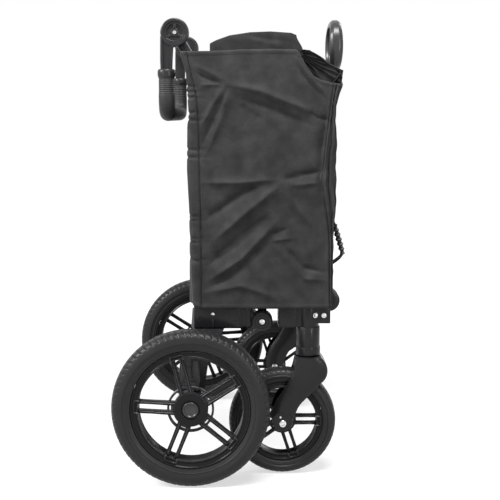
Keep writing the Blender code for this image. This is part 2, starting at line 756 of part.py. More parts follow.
def build_sleeve(word, side, front):
    """The upright barrel that the fork's stem turns in, wider below the bracket, with a ring at its foot."""
    bore = STEM_RADIUS + TURNING_GAP
    blind = FORK_CROWN_TOP + STEM_LENGTH + BITE
    waist = FRONT_BRACKET_BOTTOM
    sleeve = turned(f"caster_sleeve_{word}",
                    [(0.0, BRACKET_TOP), (SLEEVE_RADIUS - MOULDED_EDGE, BRACKET_TOP),
                     (SLEEVE_RADIUS, BRACKET_TOP - MOULDED_EDGE), (SLEEVE_RADIUS, waist),
                     (SLEEVE_LOWER_RADIUS, waist - BITE), (SLEEVE_LOWER_RADIUS, SLEEVE_RING_TOP),
                     (SLEEVE_RING_RADIUS, SLEEVE_RING_TOP - BITE),
                     (SLEEVE_RING_RADIUS, SLEEVE_BOTTOM), (bore, SLEEVE_BOTTOM), (bore, blind), (0.0, blind)],
                    front, "moulded_black", 20, False, (CASTER_X, side * FRONT_WHEEL_Y, 0.0))
    join(sleeve, bolt_head(f"sleeve_bolt_{word}", SLEEVE_BOLT_X, SLEEVE_BOLT_Y, BRACKET_BOLT_Z, side,
                           BOLT_HEAD_RADIUS, front))
    smooth(sleeve)


# Rear frame


def build_rear_bracket(word, side, root):
    """Moulded housing that holds the post's foot, with a round hub for the floor rail's pivot."""
    hub = arc(REAR_PIVOT_X, FLOOR_Z, RAIL_HUB_RADIUS, math.radians(210), math.radians(450), 8)
    shoulder = (REAR_BRACKET_FRONT + REAR_PIVOT_X - RAIL_HUB_RADIUS) / 2
    outline = [(REAR_BRACKET_BACK, BRACKET_TOP), (REAR_BRACKET_BACK, BRACKET_BOTTOM),
               (REAR_BRACKET_FRONT, BRACKET_BOTTOM), *hub, (shoulder, BRACKET_TOP)]
    middle = side * (HUB_PLATE_INNER_Y + BRACKET_OUTER_Y) / 2
    bracket = plate(f"rear_bracket_{word}",
                    [outline, circle(REAR_PIVOT_X, FLOOR_Z, PIN_RADIUS + TURNING_GAP, 12)],
                    HUB_PLATE_THICK, root, "moulded_black", (0.0, middle, 0.0), edge=0.75 * MOULDED_EDGE)
    low, high = mirrored_y(side, BRACKET_INNER_Y, HUB_PLATE_INNER_Y + HUB_PLATE_THICK / 4)
    inner = block(f"rear_bracket_block_{word}",
                  (REAR_BRACKET_BACK + MOULDED_EDGE, low, BRACKET_BOTTOM + MOULDED_EDGE),
                  (REAR_BRACKET_FRONT - MOULDED_EDGE, high, BRACKET_TOP - MOULDED_EDGE), root)
    socket = rod(f"rear_socket_{word}", POST_RADIUS + SEAT_GAP, POST_FOOT_Z - SEAT_GAP, 2 * BRACKET_TOP, root,
                 steps=16, at=(REAR_POST_X, side * POST_Y, 0.0))
    recesses = []
    half = RECESS_SIZE / 2
    for index, x in enumerate((REAR_BRACKET_BACK + RECESS_INSET, REAR_BRACKET_FRONT - RECESS_INSET)):
        low, high = mirrored_y(side, BRACKET_OUTER_Y - RECESS_DEPTH, BRACKET_OUTER_Y + half)
        recesses.append(block(f"rear_recess_{word}_{index}", (x - half, low, RECESS_Z - half),
                              (x + half, high, RECESS_Z + half), root))
    join(bracket, inner)
    cut(bracket, socket, *recesses)
    smooth(bracket)


def build_rear_post(word, side, root):
    """Tube from the bracket, cranked back at its top into the cheek that carries the handle."""
    hub = Vector((HANDLE_HUB_X, side * POST_Y, HANDLE_HUB_Z))
    foot = Vector((REAR_POST_X, side * POST_Y, POST_FOOT_Z))
    bend = Vector((REAR_POST_X, side * POST_Y, REAR_POST_BEND_Z))
    down = (bend - hub).normalized()
    path = filleted([foot, bend, hub + down * 2 * PIN_RADIUS], REAR_POST_CURVE, 3, closed=False)
    post = tube(f"rear_post_{word}", path, POST_RADIUS, root, "frame_paint")
    path = filleted([foot - Vector((0.0, 0.0, TUBE_WALL)), bend, hub + down * (CHEEK_RADIUS + TUBE_WALL)],
                    REAR_POST_CURVE, 3, closed=False)
    bore = tube(f"rear_post_bore_{word}", path, POST_RADIUS - TUBE_WALL, root)
    cut(post, bore)
    middle = side * (CHEEK_INNER_Y + HANDLE_ARM_INNER_Y - SEAT_GAP) / 2
    cheek = plate(f"handle_cheek_{word}",
                  [circle(HANDLE_HUB_X, HANDLE_HUB_Z, CHEEK_RADIUS, 20),
                   circle(HANDLE_HUB_X, HANDLE_HUB_Z, PIN_RADIUS + TURNING_GAP, 12)],
                  HANDLE_ARM_INNER_Y - SEAT_GAP - CHEEK_INNER_Y, root, None, (0.0, middle, 0.0))
    join(post, cheek)


def build_rear_leg(word, side, root):
    """Moulded leg from under the bracket to the axle, with the boss that spaces the wheel."""
    top = BRACKET_BOTTOM - SEAT_GAP
    boss = arc(0.0, REAR_AXLE_Z, LEG_BOSS_RADIUS, math.radians(190), math.radians(350), 8)
    outline = [(REAR_BRACKET_BACK + MOULDED_EDGE, top), (-LEG_KNEE_BACK, LEG_KNEE_Z), *boss,
               (LEG_KNEE_FRONT, LEG_KNEE_Z), (LEG_TOP_FRONT, top)]
    holes = [circle(0.0, REAR_AXLE_Z, AXLE_RADIUS + SEAT_GAP, 16),
             circle(PEDAL_ROD_X, PEDAL_ROD_Z, PEDAL_ROD_RADIUS + TURNING_GAP, 12)]
    middle = side * (HUB_PLATE_INNER_Y + BRACKET_OUTER_Y) / 2
    leg = plate(f"rear_leg_{word}", [outline, *holes], HUB_PLATE_THICK, root, "moulded_black",
                (0.0, middle, 0.0))
    spacer_out = LEG_OUT_Y - REAR_WHEEL_Y
    spacer_in = spacer_out - 1.25 * LEG_SPACER_REACH
    spacer = turned(f"leg_spacer_{word}",
                    [(AXLE_RADIUS + SEAT_GAP, spacer_out), (0.88 * SPACER_RADIUS, spacer_out),
                     (SPACER_RADIUS, spacer_in),
                     (AXLE_RADIUS + SEAT_GAP, spacer_in)], root, steps=12,
                    at=(0.0, side * REAR_WHEEL_Y, REAR_AXLE_Z),
                    turn=(math.pi / 2, 0.0, 0.0 if side < 0 else math.pi))
    join(leg, spacer)
    smooth(leg)


def build_brake_unit(word, side, root):
    """Light-grey unit on the leg's outer face. The brake pin slides in its bore."""
    half, top, bottom = BRAKE_UNIT_HALF, BRAKE_UNIT_TOP, BRAKE_UNIT_BOTTOM
    waist = bottom + 0.25 * (top - bottom)
    outline = filleted([(-1.2 * half, top), (-1.3 * half, waist), (-half / 2, bottom), (half / 2, bottom),
                        (0.8 * half, waist), (0.7 * half, top)], 0.25 * half, 1)
    inner = BRACKET_OUTER_Y + SEAT_GAP
    outer = BRACKET_OUTER_Y + BRAKE_UNIT_THICK
    unit = plate(f"brake_unit_{word}",
                 [outline, circle(0.0, REAR_AXLE_Z + BRAKE_PIN_REACH, BRAKE_PIN_RADIUS + TURNING_GAP, 12)],
                 outer - inner, root, "grey_plastic", (0.0, side * (inner + outer) / 2, 0.0))
    smooth(unit)


def build_rear_axle(root):
    reach = REAR_WHEEL_Y + REAR_HUB_OUT - 2 * BITE
    rod("rear_axle", AXLE_RADIUS, -reach, reach, root, "bare_steel", 20, (0.0, 0.0, REAR_AXLE_Z),
        (math.pi / 2, 0.0, 0.0))


def build_cross_tube(name, x, z, radius, half, parent):
    """Straight tube from side to side."""
    return pipe(name, radius, -half, half, parent, "frame_paint", 16, (x, 0.0, z), (math.pi / 2, 0.0, 0.0))


def build_rail_bolt(word, side, root):
    """Bolt through the bracket's hub and the rail's eye, its round head outside."""
    head = BRACKET_OUTER_Y + SEAT_GAP - REAR_RAIL_Y
    shank_end = -RAIL_RADIUS - TUBE_WALL
    turned(f"rail_bolt_{word}",
           [(0.0, head + BOLT_HEAD_HEIGHT), (0.6 * BOLT_HEAD_RADIUS, head + BOLT_HEAD_HEIGHT),
            (BOLT_HEAD_RADIUS, head + 0.5 * BOLT_HEAD_HEIGHT), (BOLT_HEAD_RADIUS, head), (PIN_RADIUS, head),
            (PIN_RADIUS, shank_end), (0.0, shank_end)], root, "bare_steel", 14, False,
           (REAR_PIVOT_X, side * REAR_RAIL_Y, FLOOR_Z), (math.pi / 2, 0.0, 0.0 if side < 0 else math.pi))


# Floor


def along_rail(start, angle, u, v, y):
    """A point u along a rail that leans at the angle from its pivot, v off its outer face."""
    lean = Vector((math.cos(angle), 0.0, math.sin(angle)))
    out = Vector((-math.sin(angle), 0.0, math.cos(angle)))
    return Vector((start[0], y, start[1])) + lean * u + out * v


def build_floor_half(name, body, angle, rail_y, other_y, ties, pinned):
    """Two rails with an eye at each end, and ties across them at shares of their length.

    pinned adds the centre hinge's pins, which turn in the other half's eyes.
    """
    ends = 0.8 * EYE_RADIUS
    rails = []
    for word, side in SIDES:
        start = along_rail((0, 0), angle, ends, 0.0, side * rail_y)
        end = along_rail((0, 0), angle, RAIL_HALF - ends, 0.0, side * rail_y)
        rails.append(tube(f"{name}_rail_{word}", [start, end], RAIL_RADIUS, body, "frame_paint"))
        tip = along_rail((0, 0), angle, RAIL_HALF, 0.0, 0.0)
        hole = circle(0.0, 0.0, PIN_RADIUS + TURNING_GAP, 12)
        eye = circle(0.0, 0.0, EYE_RADIUS, 14)
        rails.append(plate(f"{name}_low_eye_{word}", [eye, hole], 2 * RAIL_RADIUS, body, None,
                           (0.0, side * rail_y, 0.0)))
        if not pinned:
            rails.append(plate(f"{name}_top_eye_{word}", [eye, hole], 2 * RAIL_RADIUS, body, None,
                               (tip.x, side * rail_y, tip.z)))
            continue
        seat = other_y + RAIL_RADIUS + SEAT_GAP
        outer = rail_y + RAIL_RADIUS
        rails.append(plate(f"{name}_top_eye_{word}", [eye], outer - seat, body, None,
                           (tip.x, side * (outer + seat) / 2, tip.z)))
        inner = other_y - RAIL_RADIUS + BITE
        rails.append(rod(f"{name}_pin_{word}", PIN_RADIUS, inner, seat + PIN_RADIUS, body, steps=12,
                         at=(tip.x, 0.0, tip.z),
                         turn=(math.pi / 2, 0.0, 0.0 if side < 0 else math.pi)))
    for index, share in enumerate(ties):
        where = along_rail((0, 0), angle, share * RAIL_HALF, 0.0, 0.0)
        rails.append(rod(f"{name}_tie_{index}", RAIL_TIE_RADIUS, -rail_y, rail_y, body, steps=12,
                         at=where, turn=(math.pi / 2, 0.0, 0.0)))
    base = rails[0]
    base.name = name
    join(base, *rails[1:])
    return base


def build_mat(name, body, angle, outward):
    """Half of the padded floor mat: crowned, drawn in at its edges, with sewn channels across it.

    outward is 1 where the mat lies off the rail's left face, looking along the rail from its pivot.
    """
    cells_long, cells_wide, channels = 12, 6, 3
    length = RAIL_HALF - 2 * MAT_MARGIN
    mesh = bpy.data.meshes.new(name)
    form = bmesh.new()
    bmesh.ops.create_cube(form, size=2.0)
    for axis, cuts in ((0, cells_long - 1), (1, cells_wide - 1)):
        edges = [e for e in form.edges if abs((e.verts[0].co - e.verts[1].co)[axis]) > 1e-6]
        bmesh.ops.subdivide_edges(form, edges=edges, cuts=cuts, use_grid_fill=True)
    rail_face = RAIL_RADIUS + SEAT_GAP
    for vert in form.verts:
        s, t, top = vert.co.x, vert.co.y, vert.co.z > 0
        crown = (1 - s ** 6) * (1 - t ** 6)
        channel = math.sqrt(abs(math.cos(math.pi * channels * (s + 1) / 2)))
        full = 0.25 + 0.75 * crown * (0.72 + 0.28 * channel)
        at_edge = max(abs(s), abs(t)) > 0.99
        at_corner = min(abs(s), abs(t)) > 0.99
        draw_in = 0.985 if at_edge and not at_corner else 1.0
        height = rail_face + (MAT_THICK * full if top else MAT_THICK * 0.12 * (1 - crown))
        u = MAT_MARGIN + length * (s * draw_in + 1) / 2
        vert.co = along_rail((0, 0), angle, u, outward * height, MAT_HALF_WIDTH * t * draw_in)
    bmesh.ops.recalc_face_normals(form, faces=form.faces)
    form.to_mesh(mesh)
    form.free()
    return smooth(place(bpy.data.objects.new(name, mesh), body, "dark_fabric"))


# Front frame


def build_front_bracket(word, side, front):
    """Moulded bracket: the floor rail's pivot behind, the sleeve's saddle and the post's socket."""
    back, nose, bottom, top = FRONT_BRACKET_BACK, FRONT_BRACKET_FRONT, FRONT_BRACKET_BOTTOM, BRACKET_TOP
    step = FRONT_BRACKET_STEP
    outline = [(back, top), (back, bottom), (CASTER_X, bottom), (CASTER_X + step, bottom + step),
               (nose, bottom + step), (nose, top)]
    middle = side * (BRACKET_INNER_Y + FRONT_BRACKET_OUTER_Y) / 2
    bracket = plate(f"front_bracket_{word}", [outline], FRONT_BRACKET_OUTER_Y - BRACKET_INNER_Y, front,
                    "moulded_black", (0.0, middle, 0.0), edge=MOULDED_EDGE)
    saddle = rod(f"front_saddle_{word}", SLEEVE_RADIUS + SEAT_GAP, SLEEVE_BOTTOM, 2 * BRACKET_TOP, front,
                 steps=24, at=(CASTER_X, side * FRONT_WHEEL_Y, 0.0))
    socket = rod(f"front_socket_{word}", POST_RADIUS + SEAT_GAP, POST_FOOT_Z - SEAT_GAP, 2 * BRACKET_TOP,
                 front, steps=16, at=(FRONT_POST_X, side * POST_Y, 0.0))
    pin = rod(f"front_rail_pin_{word}", PIN_RADIUS, FRONT_RAIL_Y - RAIL_RADIUS + BITE,
              BRACKET_INNER_Y + PIN_RADIUS, front, steps=12, at=(FRONT_PIVOT_X, 0.0, FLOOR_Z),
              turn=(math.pi / 2, 0.0, 0.0 if side < 0 else math.pi))
    bolt = bolt_head(f"bracket_bolt_{word}", BRACKET_BOLT_X, FRONT_BRACKET_OUTER_Y, BRACKET_BOLT_Z, side,
                     BOLT_HEAD_RADIUS, front)
    pocket = rod(f"sleeve_bolt_pocket_{word}", BOLT_HEAD_RADIUS + SEAT_GAP, -BOLT_HEAD_RADIUS - SEAT_GAP,
                 2 * BOLT_HEAD_RADIUS, front, steps=12,
                 at=(SLEEVE_BOLT_X, side * SLEEVE_BOLT_Y, BRACKET_BOLT_Z),
                 turn=(math.pi / 2, 0.0, 0.0 if side < 0 else math.pi))
    cut(bracket, saddle, socket, pocket)
    join(bracket, pin, bolt)
    smooth(bracket)


def build_front_post(word, side, front):
    pipe(f"front_post_{word}", POST_RADIUS, POST_FOOT_Z, FRONT_POST_TOP, front, "frame_paint", 16,
         (FRONT_POST_X, side * POST_Y, 0.0))


# Push handle


def build_handle(root):
    """Two moulded arms on round hubs and the U-shaped bar between them, hanging down at rest."""
    body = group("push_handle", HANDLE_HUB_X, 0.0, HANDLE_HUB_Z, root)
    drop = COLLAR_TOP - HANDLE_HUB_Z
    across = HANDLE_BAR_X - HANDLE_HUB_X
    neck, neck_top = ARM_NECK_HALF, drop + 2 * MOULDED_EDGE
    for word, side in SIDES:
        disc = arc(0.0, 0.0, HANDLE_HUB_RADIUS, math.radians(-38), math.radians(190), 16)
        outline = disc + [(across - 1.15 * neck, neck_top), (across - neck, drop - 1.5 * MOULDED_EDGE),
                          (across + neck, drop - 1.5 * MOULDED_EDGE), (across + 1.08 * neck, neck_top),
                          (across + 1.2 * neck, -1.1 * HANDLE_HUB_RADIUS)]
        arm = plate(f"handle_arm_{word}", [outline], HANDLE_ARM_THICK, body, "moulded_black",
                    (0.0, side * HANDLE_ARM_Y, 0.0), edge=MOULDED_EDGE)
        low = neck_top + 0.66 * neck
        hollow = [(across - 0.66 * neck, -HANDLE_HUB_RADIUS), (across - 0.1 * neck, low),
                  (across + 0.1 * neck, low), (across + 0.76 * neck, -HANDLE_HUB_RADIUS)]
        recess = plate(f"arm_recess_{word}", [filleted(hollow, MOULDED_EDGE, 1)], 3 * MOULDED_EDGE, body, None,
                       (0.0, side * (HANDLE_ARM_Y + HANDLE_ARM_THICK / 2), 0.0))
        collar = turned(f"handle_collar_{word}",
                        [(0.0, drop), (COLLAR_RADIUS, drop), (0.94 * COLLAR_RADIUS, drop - COLLAR_HEIGHT),
                         (0.0, drop - COLLAR_HEIGHT)], body, None, 16, False,
                        (across, side * HANDLE_ARM_Y, 0.0))
        pin = rod(f"handle_pin_{word}", PIN_RADIUS, CHEEK_INNER_Y, HANDLE_ARM_Y, body, steps=12,
                  turn=(math.pi / 2, 0.0, 0.0 if side < 0 else math.pi))
        knob, rise = HANDLE_BUTTON_RADIUS, 0.3 * HANDLE_BUTTON_RADIUS
        button = turned(f"handle_button_{word}",
                        [(0.0, rise), (0.8 * knob, rise), (knob, rise / 2), (knob, -rise), (0.0, -rise)], body,
                        None, 12, False, (0.0, side * (HANDLE_ARM_Y + HANDLE_ARM_THICK / 2), 0.0),
                        (math.pi / 2, 0.0, 0.0 if side < 0 else math.pi))
        cut(arm, recess)
        join(arm, collar, pin, button)
        smooth(arm)
    top = drop - COLLAR_HEIGHT - SEAT_GAP
    low = HANDLE_BAR_Z - HANDLE_HUB_Z
    corners = [(across, -HANDLE_ARM_Y, top), (across, -HANDLE_ARM_Y, low), (across, HANDLE_ARM_Y, low),
               (across, HANDLE_ARM_Y, top)]
    tube("handle_bar", filleted(corners, HANDLE_BEND, 6, closed=False), HANDLE_BAR_RADIUS, body, "grip_foam", 4)


# Pull bar


def build_pull_bracket(front):
    """Two round ears on a saddle against the front cross tube, with the pull bar's pin through them."""
    saddle_x = FRONT_CROSS_X + CROSS_RADIUS + SEAT_GAP
    half = PULL_EYE_RADIUS
    front_x = PULL_X - PULL_EYE_RADIUS - PIN_RADIUS
    saddle = block("pull_bracket", (saddle_x, -PULL_EAR_OUT, PULL_PIVOT_Z - half),
                   (front_x, PULL_EAR_OUT, PULL_PIVOT_Z + half), front, "moulded_black")
    middle = PULL_EAR_OUT - PULL_EAR_THICK / 2
    extras = []
    for word, side in SIDES:
        extras.append(plate(f"pull_ear_{word}", [circle(PULL_X, PULL_PIVOT_Z, PULL_KNUCKLE_RADIUS, 24)],
                            PULL_EAR_THICK, front, None, (0.0, side * middle, 0.0)))
    extras.append(rod("pull_pin", PIN_RADIUS, -middle, middle, front, steps=12,
                      at=(PULL_X, 0.0, PULL_PIVOT_Z), turn=(math.pi / 2, 0.0, 0.0)))
    join(saddle, *extras)


def build_pull_bar(front):
    """Outer tube hinged low at the front, inner tube sliding in it, loop grip on top."""
    body = group("pull_bar", PULL_X, 0.0, PULL_PIVOT_Z, front)
    slider = group("pull_slider", 0.0, 0.0, 0.0, body)
    bottom = PULL_EYE_RADIUS - TUBE_WALL
    top = PULL_OUTER_TOP - PULL_PIVOT_Z
    floor = PULL_INNER_BOTTOM - PULL_PIVOT_Z - SEAT_GAP
    collar = top - PULL_COLLAR_HEIGHT
    outer = turned("pull_tube_outer",
                   [(0.0, floor), (PULL_BORE_RADIUS, floor), (PULL_BORE_RADIUS, top), (PULL_COLLAR_RADIUS, top),
                    (PULL_COLLAR_RADIUS, collar), (PULL_OUTER_RADIUS, collar - TUBE_WALL),
                    (PULL_OUTER_RADIUS, bottom), (0.0, bottom)], body, "frame_paint", 16, False)
    hole = circle(0.0, 0.0, PIN_RADIUS + TURNING_GAP, 12)
    eye = plate("pull_eye", [circle(0.0, 0.0, PULL_EYE_RADIUS, 16), hole], PULL_EYE_WIDTH, body)
    join(outer, eye)
    stem_top = GRIP_BOTTOM - PULL_PIVOT_Z
    pipe("pull_tube_inner", PULL_INNER_RADIUS, PULL_INNER_BOTTOM - PULL_PIVOT_Z,
         stem_top - GRIP_SOCKET_HEIGHT / 2 - SEAT_GAP, slider, "bare_steel", 16)
    build_grip(slider, stem_top)


def build_grip(slider, stem_top):
    """Closed loop grip with an oval section, on a short socket."""
    half_width = (GRIP_WIDTH - GRIP_BAR) / 2
    low = GRIP_BOTTOM - PULL_PIVOT_Z + GRIP_BAR / 2
    high = GRIP_TOP - PULL_PIVOT_Z - GRIP_BAR / 2
    middle, half_height = (low + high) / 2, (high - low) / 2
    around, across, square = 24, 10, 0.78
    mesh = bpy.data.meshes.new("pull_grip")
    form = bmesh.new()
    rings = []
    for k in range(around):
        a = math.tau * (k + 0.5) / around
        c, s = math.cos(a), math.sin(a)
        centre = Vector((GRIP_FORWARD, half_width * math.copysign(abs(c) ** square, c),
                         middle + half_height * math.copysign(abs(s) ** square, s)))
        outward = Vector((0.0, c / half_width, s / half_height)).normalized()
        ring = []
        for j in range(across):
            b = math.tau * j / across
            ring.append(form.verts.new(centre + outward * (GRIP_BAR / 2 * math.cos(b))
                                       + Vector((GRIP_DEPTH / 2 * math.sin(b), 0.0, 0.0))))
        rings.append(ring)
    for ring, following in zip(rings, rings[1:] + rings[:1]):
        for j in range(across):
            k = (j + 1) % across
            form.faces.new((ring[j], following[j], following[k], ring[k]))
    bmesh.ops.recalc_face_normals(form, faces=form.faces)
    form.to_mesh(mesh)
    form.free()
    grip = place(bpy.data.objects.new("pull_grip", mesh), slider, "moulded_black")
    half = GRIP_SOCKET_HEIGHT / 2
    socket = rod("grip_socket", GRIP_SOCKET_RADIUS, stem_top - half, stem_top + half, slider, steps=14)
    join(grip, socket)
    smooth(grip)


# Brake


def build_brake(root):
    """Foot pedal on a cross rod between the legs, and the pin that it drives on each side."""
    pedal = group("brake_pedal_body", PEDAL_ROD_X, 0.0, PEDAL_ROD_Z, root)
    reach = BRACKET_OUTER_Y - MOULDED_EDGE
    bar = rod("brake_pedal", PEDAL_ROD_RADIUS, -reach, reach, pedal, "moulded_black", 12,
              turn=(math.pi / 2, 0.0, 0.0))
    low, high = -PEDAL_PAD_DROP - PEDAL_PAD_THICK, -PEDAL_PAD_DROP
    pad = block("pedal_pad", (-PEDAL_REACH, -PEDAL_WIDTH / 2, low),
                (-PEDAL_REACH + PEDAL_PAD_LENGTH, PEDAL_WIDTH / 2, high), pedal, None, 0.3 * PEDAL_PAD_THICK)
    root_size = 1.6 * PEDAL_ROD_RADIUS
    arm_end = -PEDAL_REACH + 0.85 * PEDAL_PAD_LENGTH
    arm = plate("pedal_arm",
                [filleted([(root_size, root_size), (-root_size, root_size), (arm_end, high), (arm_end, low),
                           (root_size, -root_size)], PEDAL_ROD_RADIUS / 2, 2)], PEDAL_WIDTH / 3, pedal)
    join(bar, arm, pad)
    smooth(bar)
    tip = REAR_WHEEL_Y - REAR_HUB_IN - BRAKE_PIN_REST
    for word, side in SIDES:
        slide = group(f"brake_pin_body_{word}", 0.0, 0.0, REAR_AXLE_Z + BRAKE_PIN_REACH, root)
        rod(f"brake_pin_{word}", BRAKE_PIN_RADIUS, tip - BRAKE_PIN_LENGTH, tip, slide, "bare_steel", 12,
            turn=(math.pi / 2, 0.0, 0.0 if side < 0 else math.pi))


# Fabric


def smoothstep(low, high, value):
    share = min(1.0, max(0.0, (value - low) / (high - low)))
    return share * share * (3 - 2 * share)


def panel(name, cells_u, cells_v, inside, outside, parent):
    """A closed panel of cloth between two surfaces, each a function of u and v from 0 to 1."""
    mesh = bpy.data.meshes.new(name)
    form = bmesh.new()
    grids = []
    for surface in (inside, outside):
        grids.append([[form.verts.new(surface(i / cells_u, j / cells_v)) for j in range(cells_v + 1)]
                      for i in range(cells_u + 1)])
    for grid in grids:
        for i in range(cells_u):
            for j in range(cells_v):
                form.faces.new((grid[i][j], grid[i + 1][j], grid[i + 1][j + 1], grid[i][j + 1]))
    rim = [(i, 0) for i in range(cells_u)] + [(cells_u, j) for j in range(cells_v)]
    rim += [(i, cells_v) for i in range(cells_u, 0, -1)] + [(0, j) for j in range(cells_v, 0, -1)]
    for (i, j), (k, m) in zip(rim, rim[1:] + rim[:1]):
        form.faces.new((grids[0][i][j], grids[0][k][m], grids[1][k][m], grids[1][i][j]))
    bmesh.ops.recalc_face_normals(form, faces=form.faces)
    form.to_mesh(mesh)
    form.free()
    return smooth(place(bpy.data.objects.new(name, mesh), parent, "dark_fabric"), 60)


def side_top(x):
    """Height of a side wall's upper edge, raised in its middle where the folded wall is pushed up."""
    for (x0, z0), (x1, z1) in zip(SIDE_TOP_LINE, SIDE_TOP_LINE[1:]):
        if x <= x1:
            break
    return z0 + (z1 - z0) * min(1.0, max(0.0, (x - x0) / (x1 - x0)))


def side_folds(x, z):
    """How far a side wall stands out: long diagonal folds, none at the seams of its front and rear edges."""
    along = (x - SIDE_BACK) / (SIDE_FRONT - SIDE_BACK)
    up = (z - FABRIC_BOTTOM) / (SIDE_TOP - FABRIC_BOTTOM)
    first = 0.54 * math.sin(18 * up + 7 * along - 9)
    second = 0.42 * math.sin(14.5 * up - 10.5 * along + 3)
    sag = 0.96 + 0.5 * math.sin(math.pi * up)
    held = smoothstep(0.07, 0.30, along) * (1 - smoothstep(0.77, 1.0, along))
    return SIDE_FOLD_DEPTH * held * (first + second + sag)


def build_side_wall(word, side, root):
    """Side wall with its folds. The columns stand closest where its upper edge drops to the front corner."""
    columns = (0.0, 0.06, 0.17, 0.31, 0.45, 0.59, 0.72, 0.785, 0.83, 0.90, 1.0)

    def surface(stand_off):
        def shape(u, v):
            drawn_in = FABRIC_CLEARANCE * (1 - smoothstep(0.0, 0.3, v))
            back = SIDE_BACK - SIDE_TOP_FLARE * smoothstep(0.86, 1.0, v) + drawn_in
            x = back + (SIDE_FRONT - back) * columns[round(u * (len(columns) - 1))]
            z = FABRIC_BOTTOM + (side_top(x) - FABRIC_BOTTOM) * v
            return x, side * (FABRIC_Y + side_folds(x, z) + stand_off), z

        return shape

    panel(f"side_wall_{word}", len(columns) - 1, 14, surface(0.0), surface(FABRIC_THICK), root)


def build_rear_wall(root):
    """Padded panel across the rear posts, puckered towards its outer edges."""

    def inside(u, v):
        y = END_WALL_HALF * (2 * u - 1)
        x = REAR_WALL_IN if abs(y) > POST_Y - 2 * POST_RADIUS else REAR_WALL_OUT + REAR_WALL_PAD
        return x, y, END_WALL_BOTTOM + (REAR_WALL_TOP - END_WALL_BOTTOM) * v

    def outside(u, v):
        x, y, z = inside(u, v)
        pucker = abs(2 * u - 1) ** 3 * math.sin(39 * v + 1)
        swell = 0.67 * math.sin(5.2 * u + 3.7 * v)
        return REAR_WALL_OUT - WALL_WAVE * (pucker + swell), y, z

    panel("rear_wall", 8, 13, inside, outside, root)


def build_front_wall(front):
    """Panel across the front posts, flat where the holding strap is sewn on and clear of the pull bar."""

    height = FRONT_WALL_TOP - END_WALL_BOTTOM

    def inside(u, v):
        return FRONT_WALL_IN, END_WALL_HALF * (2 * u - 1), END_WALL_BOTTOM + height * v

    def outside(u, v):
        x, y, z = inside(u, v)
        out = smoothstep(0.0, 0.5, abs(2 * u - 1))
        free = out * (1 - smoothstep(0.5, 0.75, abs(2 * u - 1)))
        wave = WALL_WAVE * (0.5 + 0.3 * math.sin(6.2 * u + 9.1 * v) + 0.2 * math.sin(14.7 * v - 4.3 * u))
        return FRONT_WALL_OUT - FRONT_WALL_DIP * (1 - out) - free * wave, y, z

    panel("front_wall", 8, 11, inside, outside, front)


def build_hem(word, side, hem):
    """Padded band along the front edge of a side wall. Its upper corner flares forward."""
    start = SIDE_FRONT + SEAT_GAP
    front, top = start + HEM_WIDTH, SIDE_CORNER_Z
    outline = [(start, top), (start, FABRIC_BOTTOM), (front, FABRIC_BOTTOM), (front, top - HEM_FLARE_HEIGHT),
               (front + HEM_CORNER_FLARE, top)]
    band = plate(f"side_hem_{word}", [outline], HEM_THICK, hem, "dark_fabric",
                 (0.0, side * (FABRIC_Y + HEM_THICK / 2), 0.0), edge=HEM_THICK / 4)
    smooth(band)


def build_strap(front):
    """Holding strap sewn to the front wall. Its buckle hangs off the wall, and the strap returns below."""
    wall = FRONT_WALL_OUT + SEAT_GAP
    face = wall + STRAP_THICK
    middle = -(END_WALL_HALF - STRAP_INSET - STRAP_WIDTH / 2)
    tip = wall + BUCKLE_HANG
    body = BUCKLE_THICK
    outline = [(wall, STRAP_TOP), (face, STRAP_TOP), (face, BUCKLE_TOP + STRAP_THICK),
               (wall + body, BUCKLE_TOP),
               (tip + 0.4 * body, BUCKLE_BOTTOM + body), (tip, BUCKLE_BOTTOM), (face, STRAP_BOTTOM),
               (wall, STRAP_BOTTOM)]
    gap = [(1.0015 * face, BUCKLE_TOP - 1.5 * body), (tip - 0.7 * body, BUCKLE_BOTTOM + STRAP_THICK),
           (1.0015 * face, STRAP_BOTTOM + 1.5 * STRAP_THICK)]
    plate("strap_buckle", [outline, gap], STRAP_WIDTH, front, "moulded_black", (0.0, middle, 0.0))


# The whole wagon


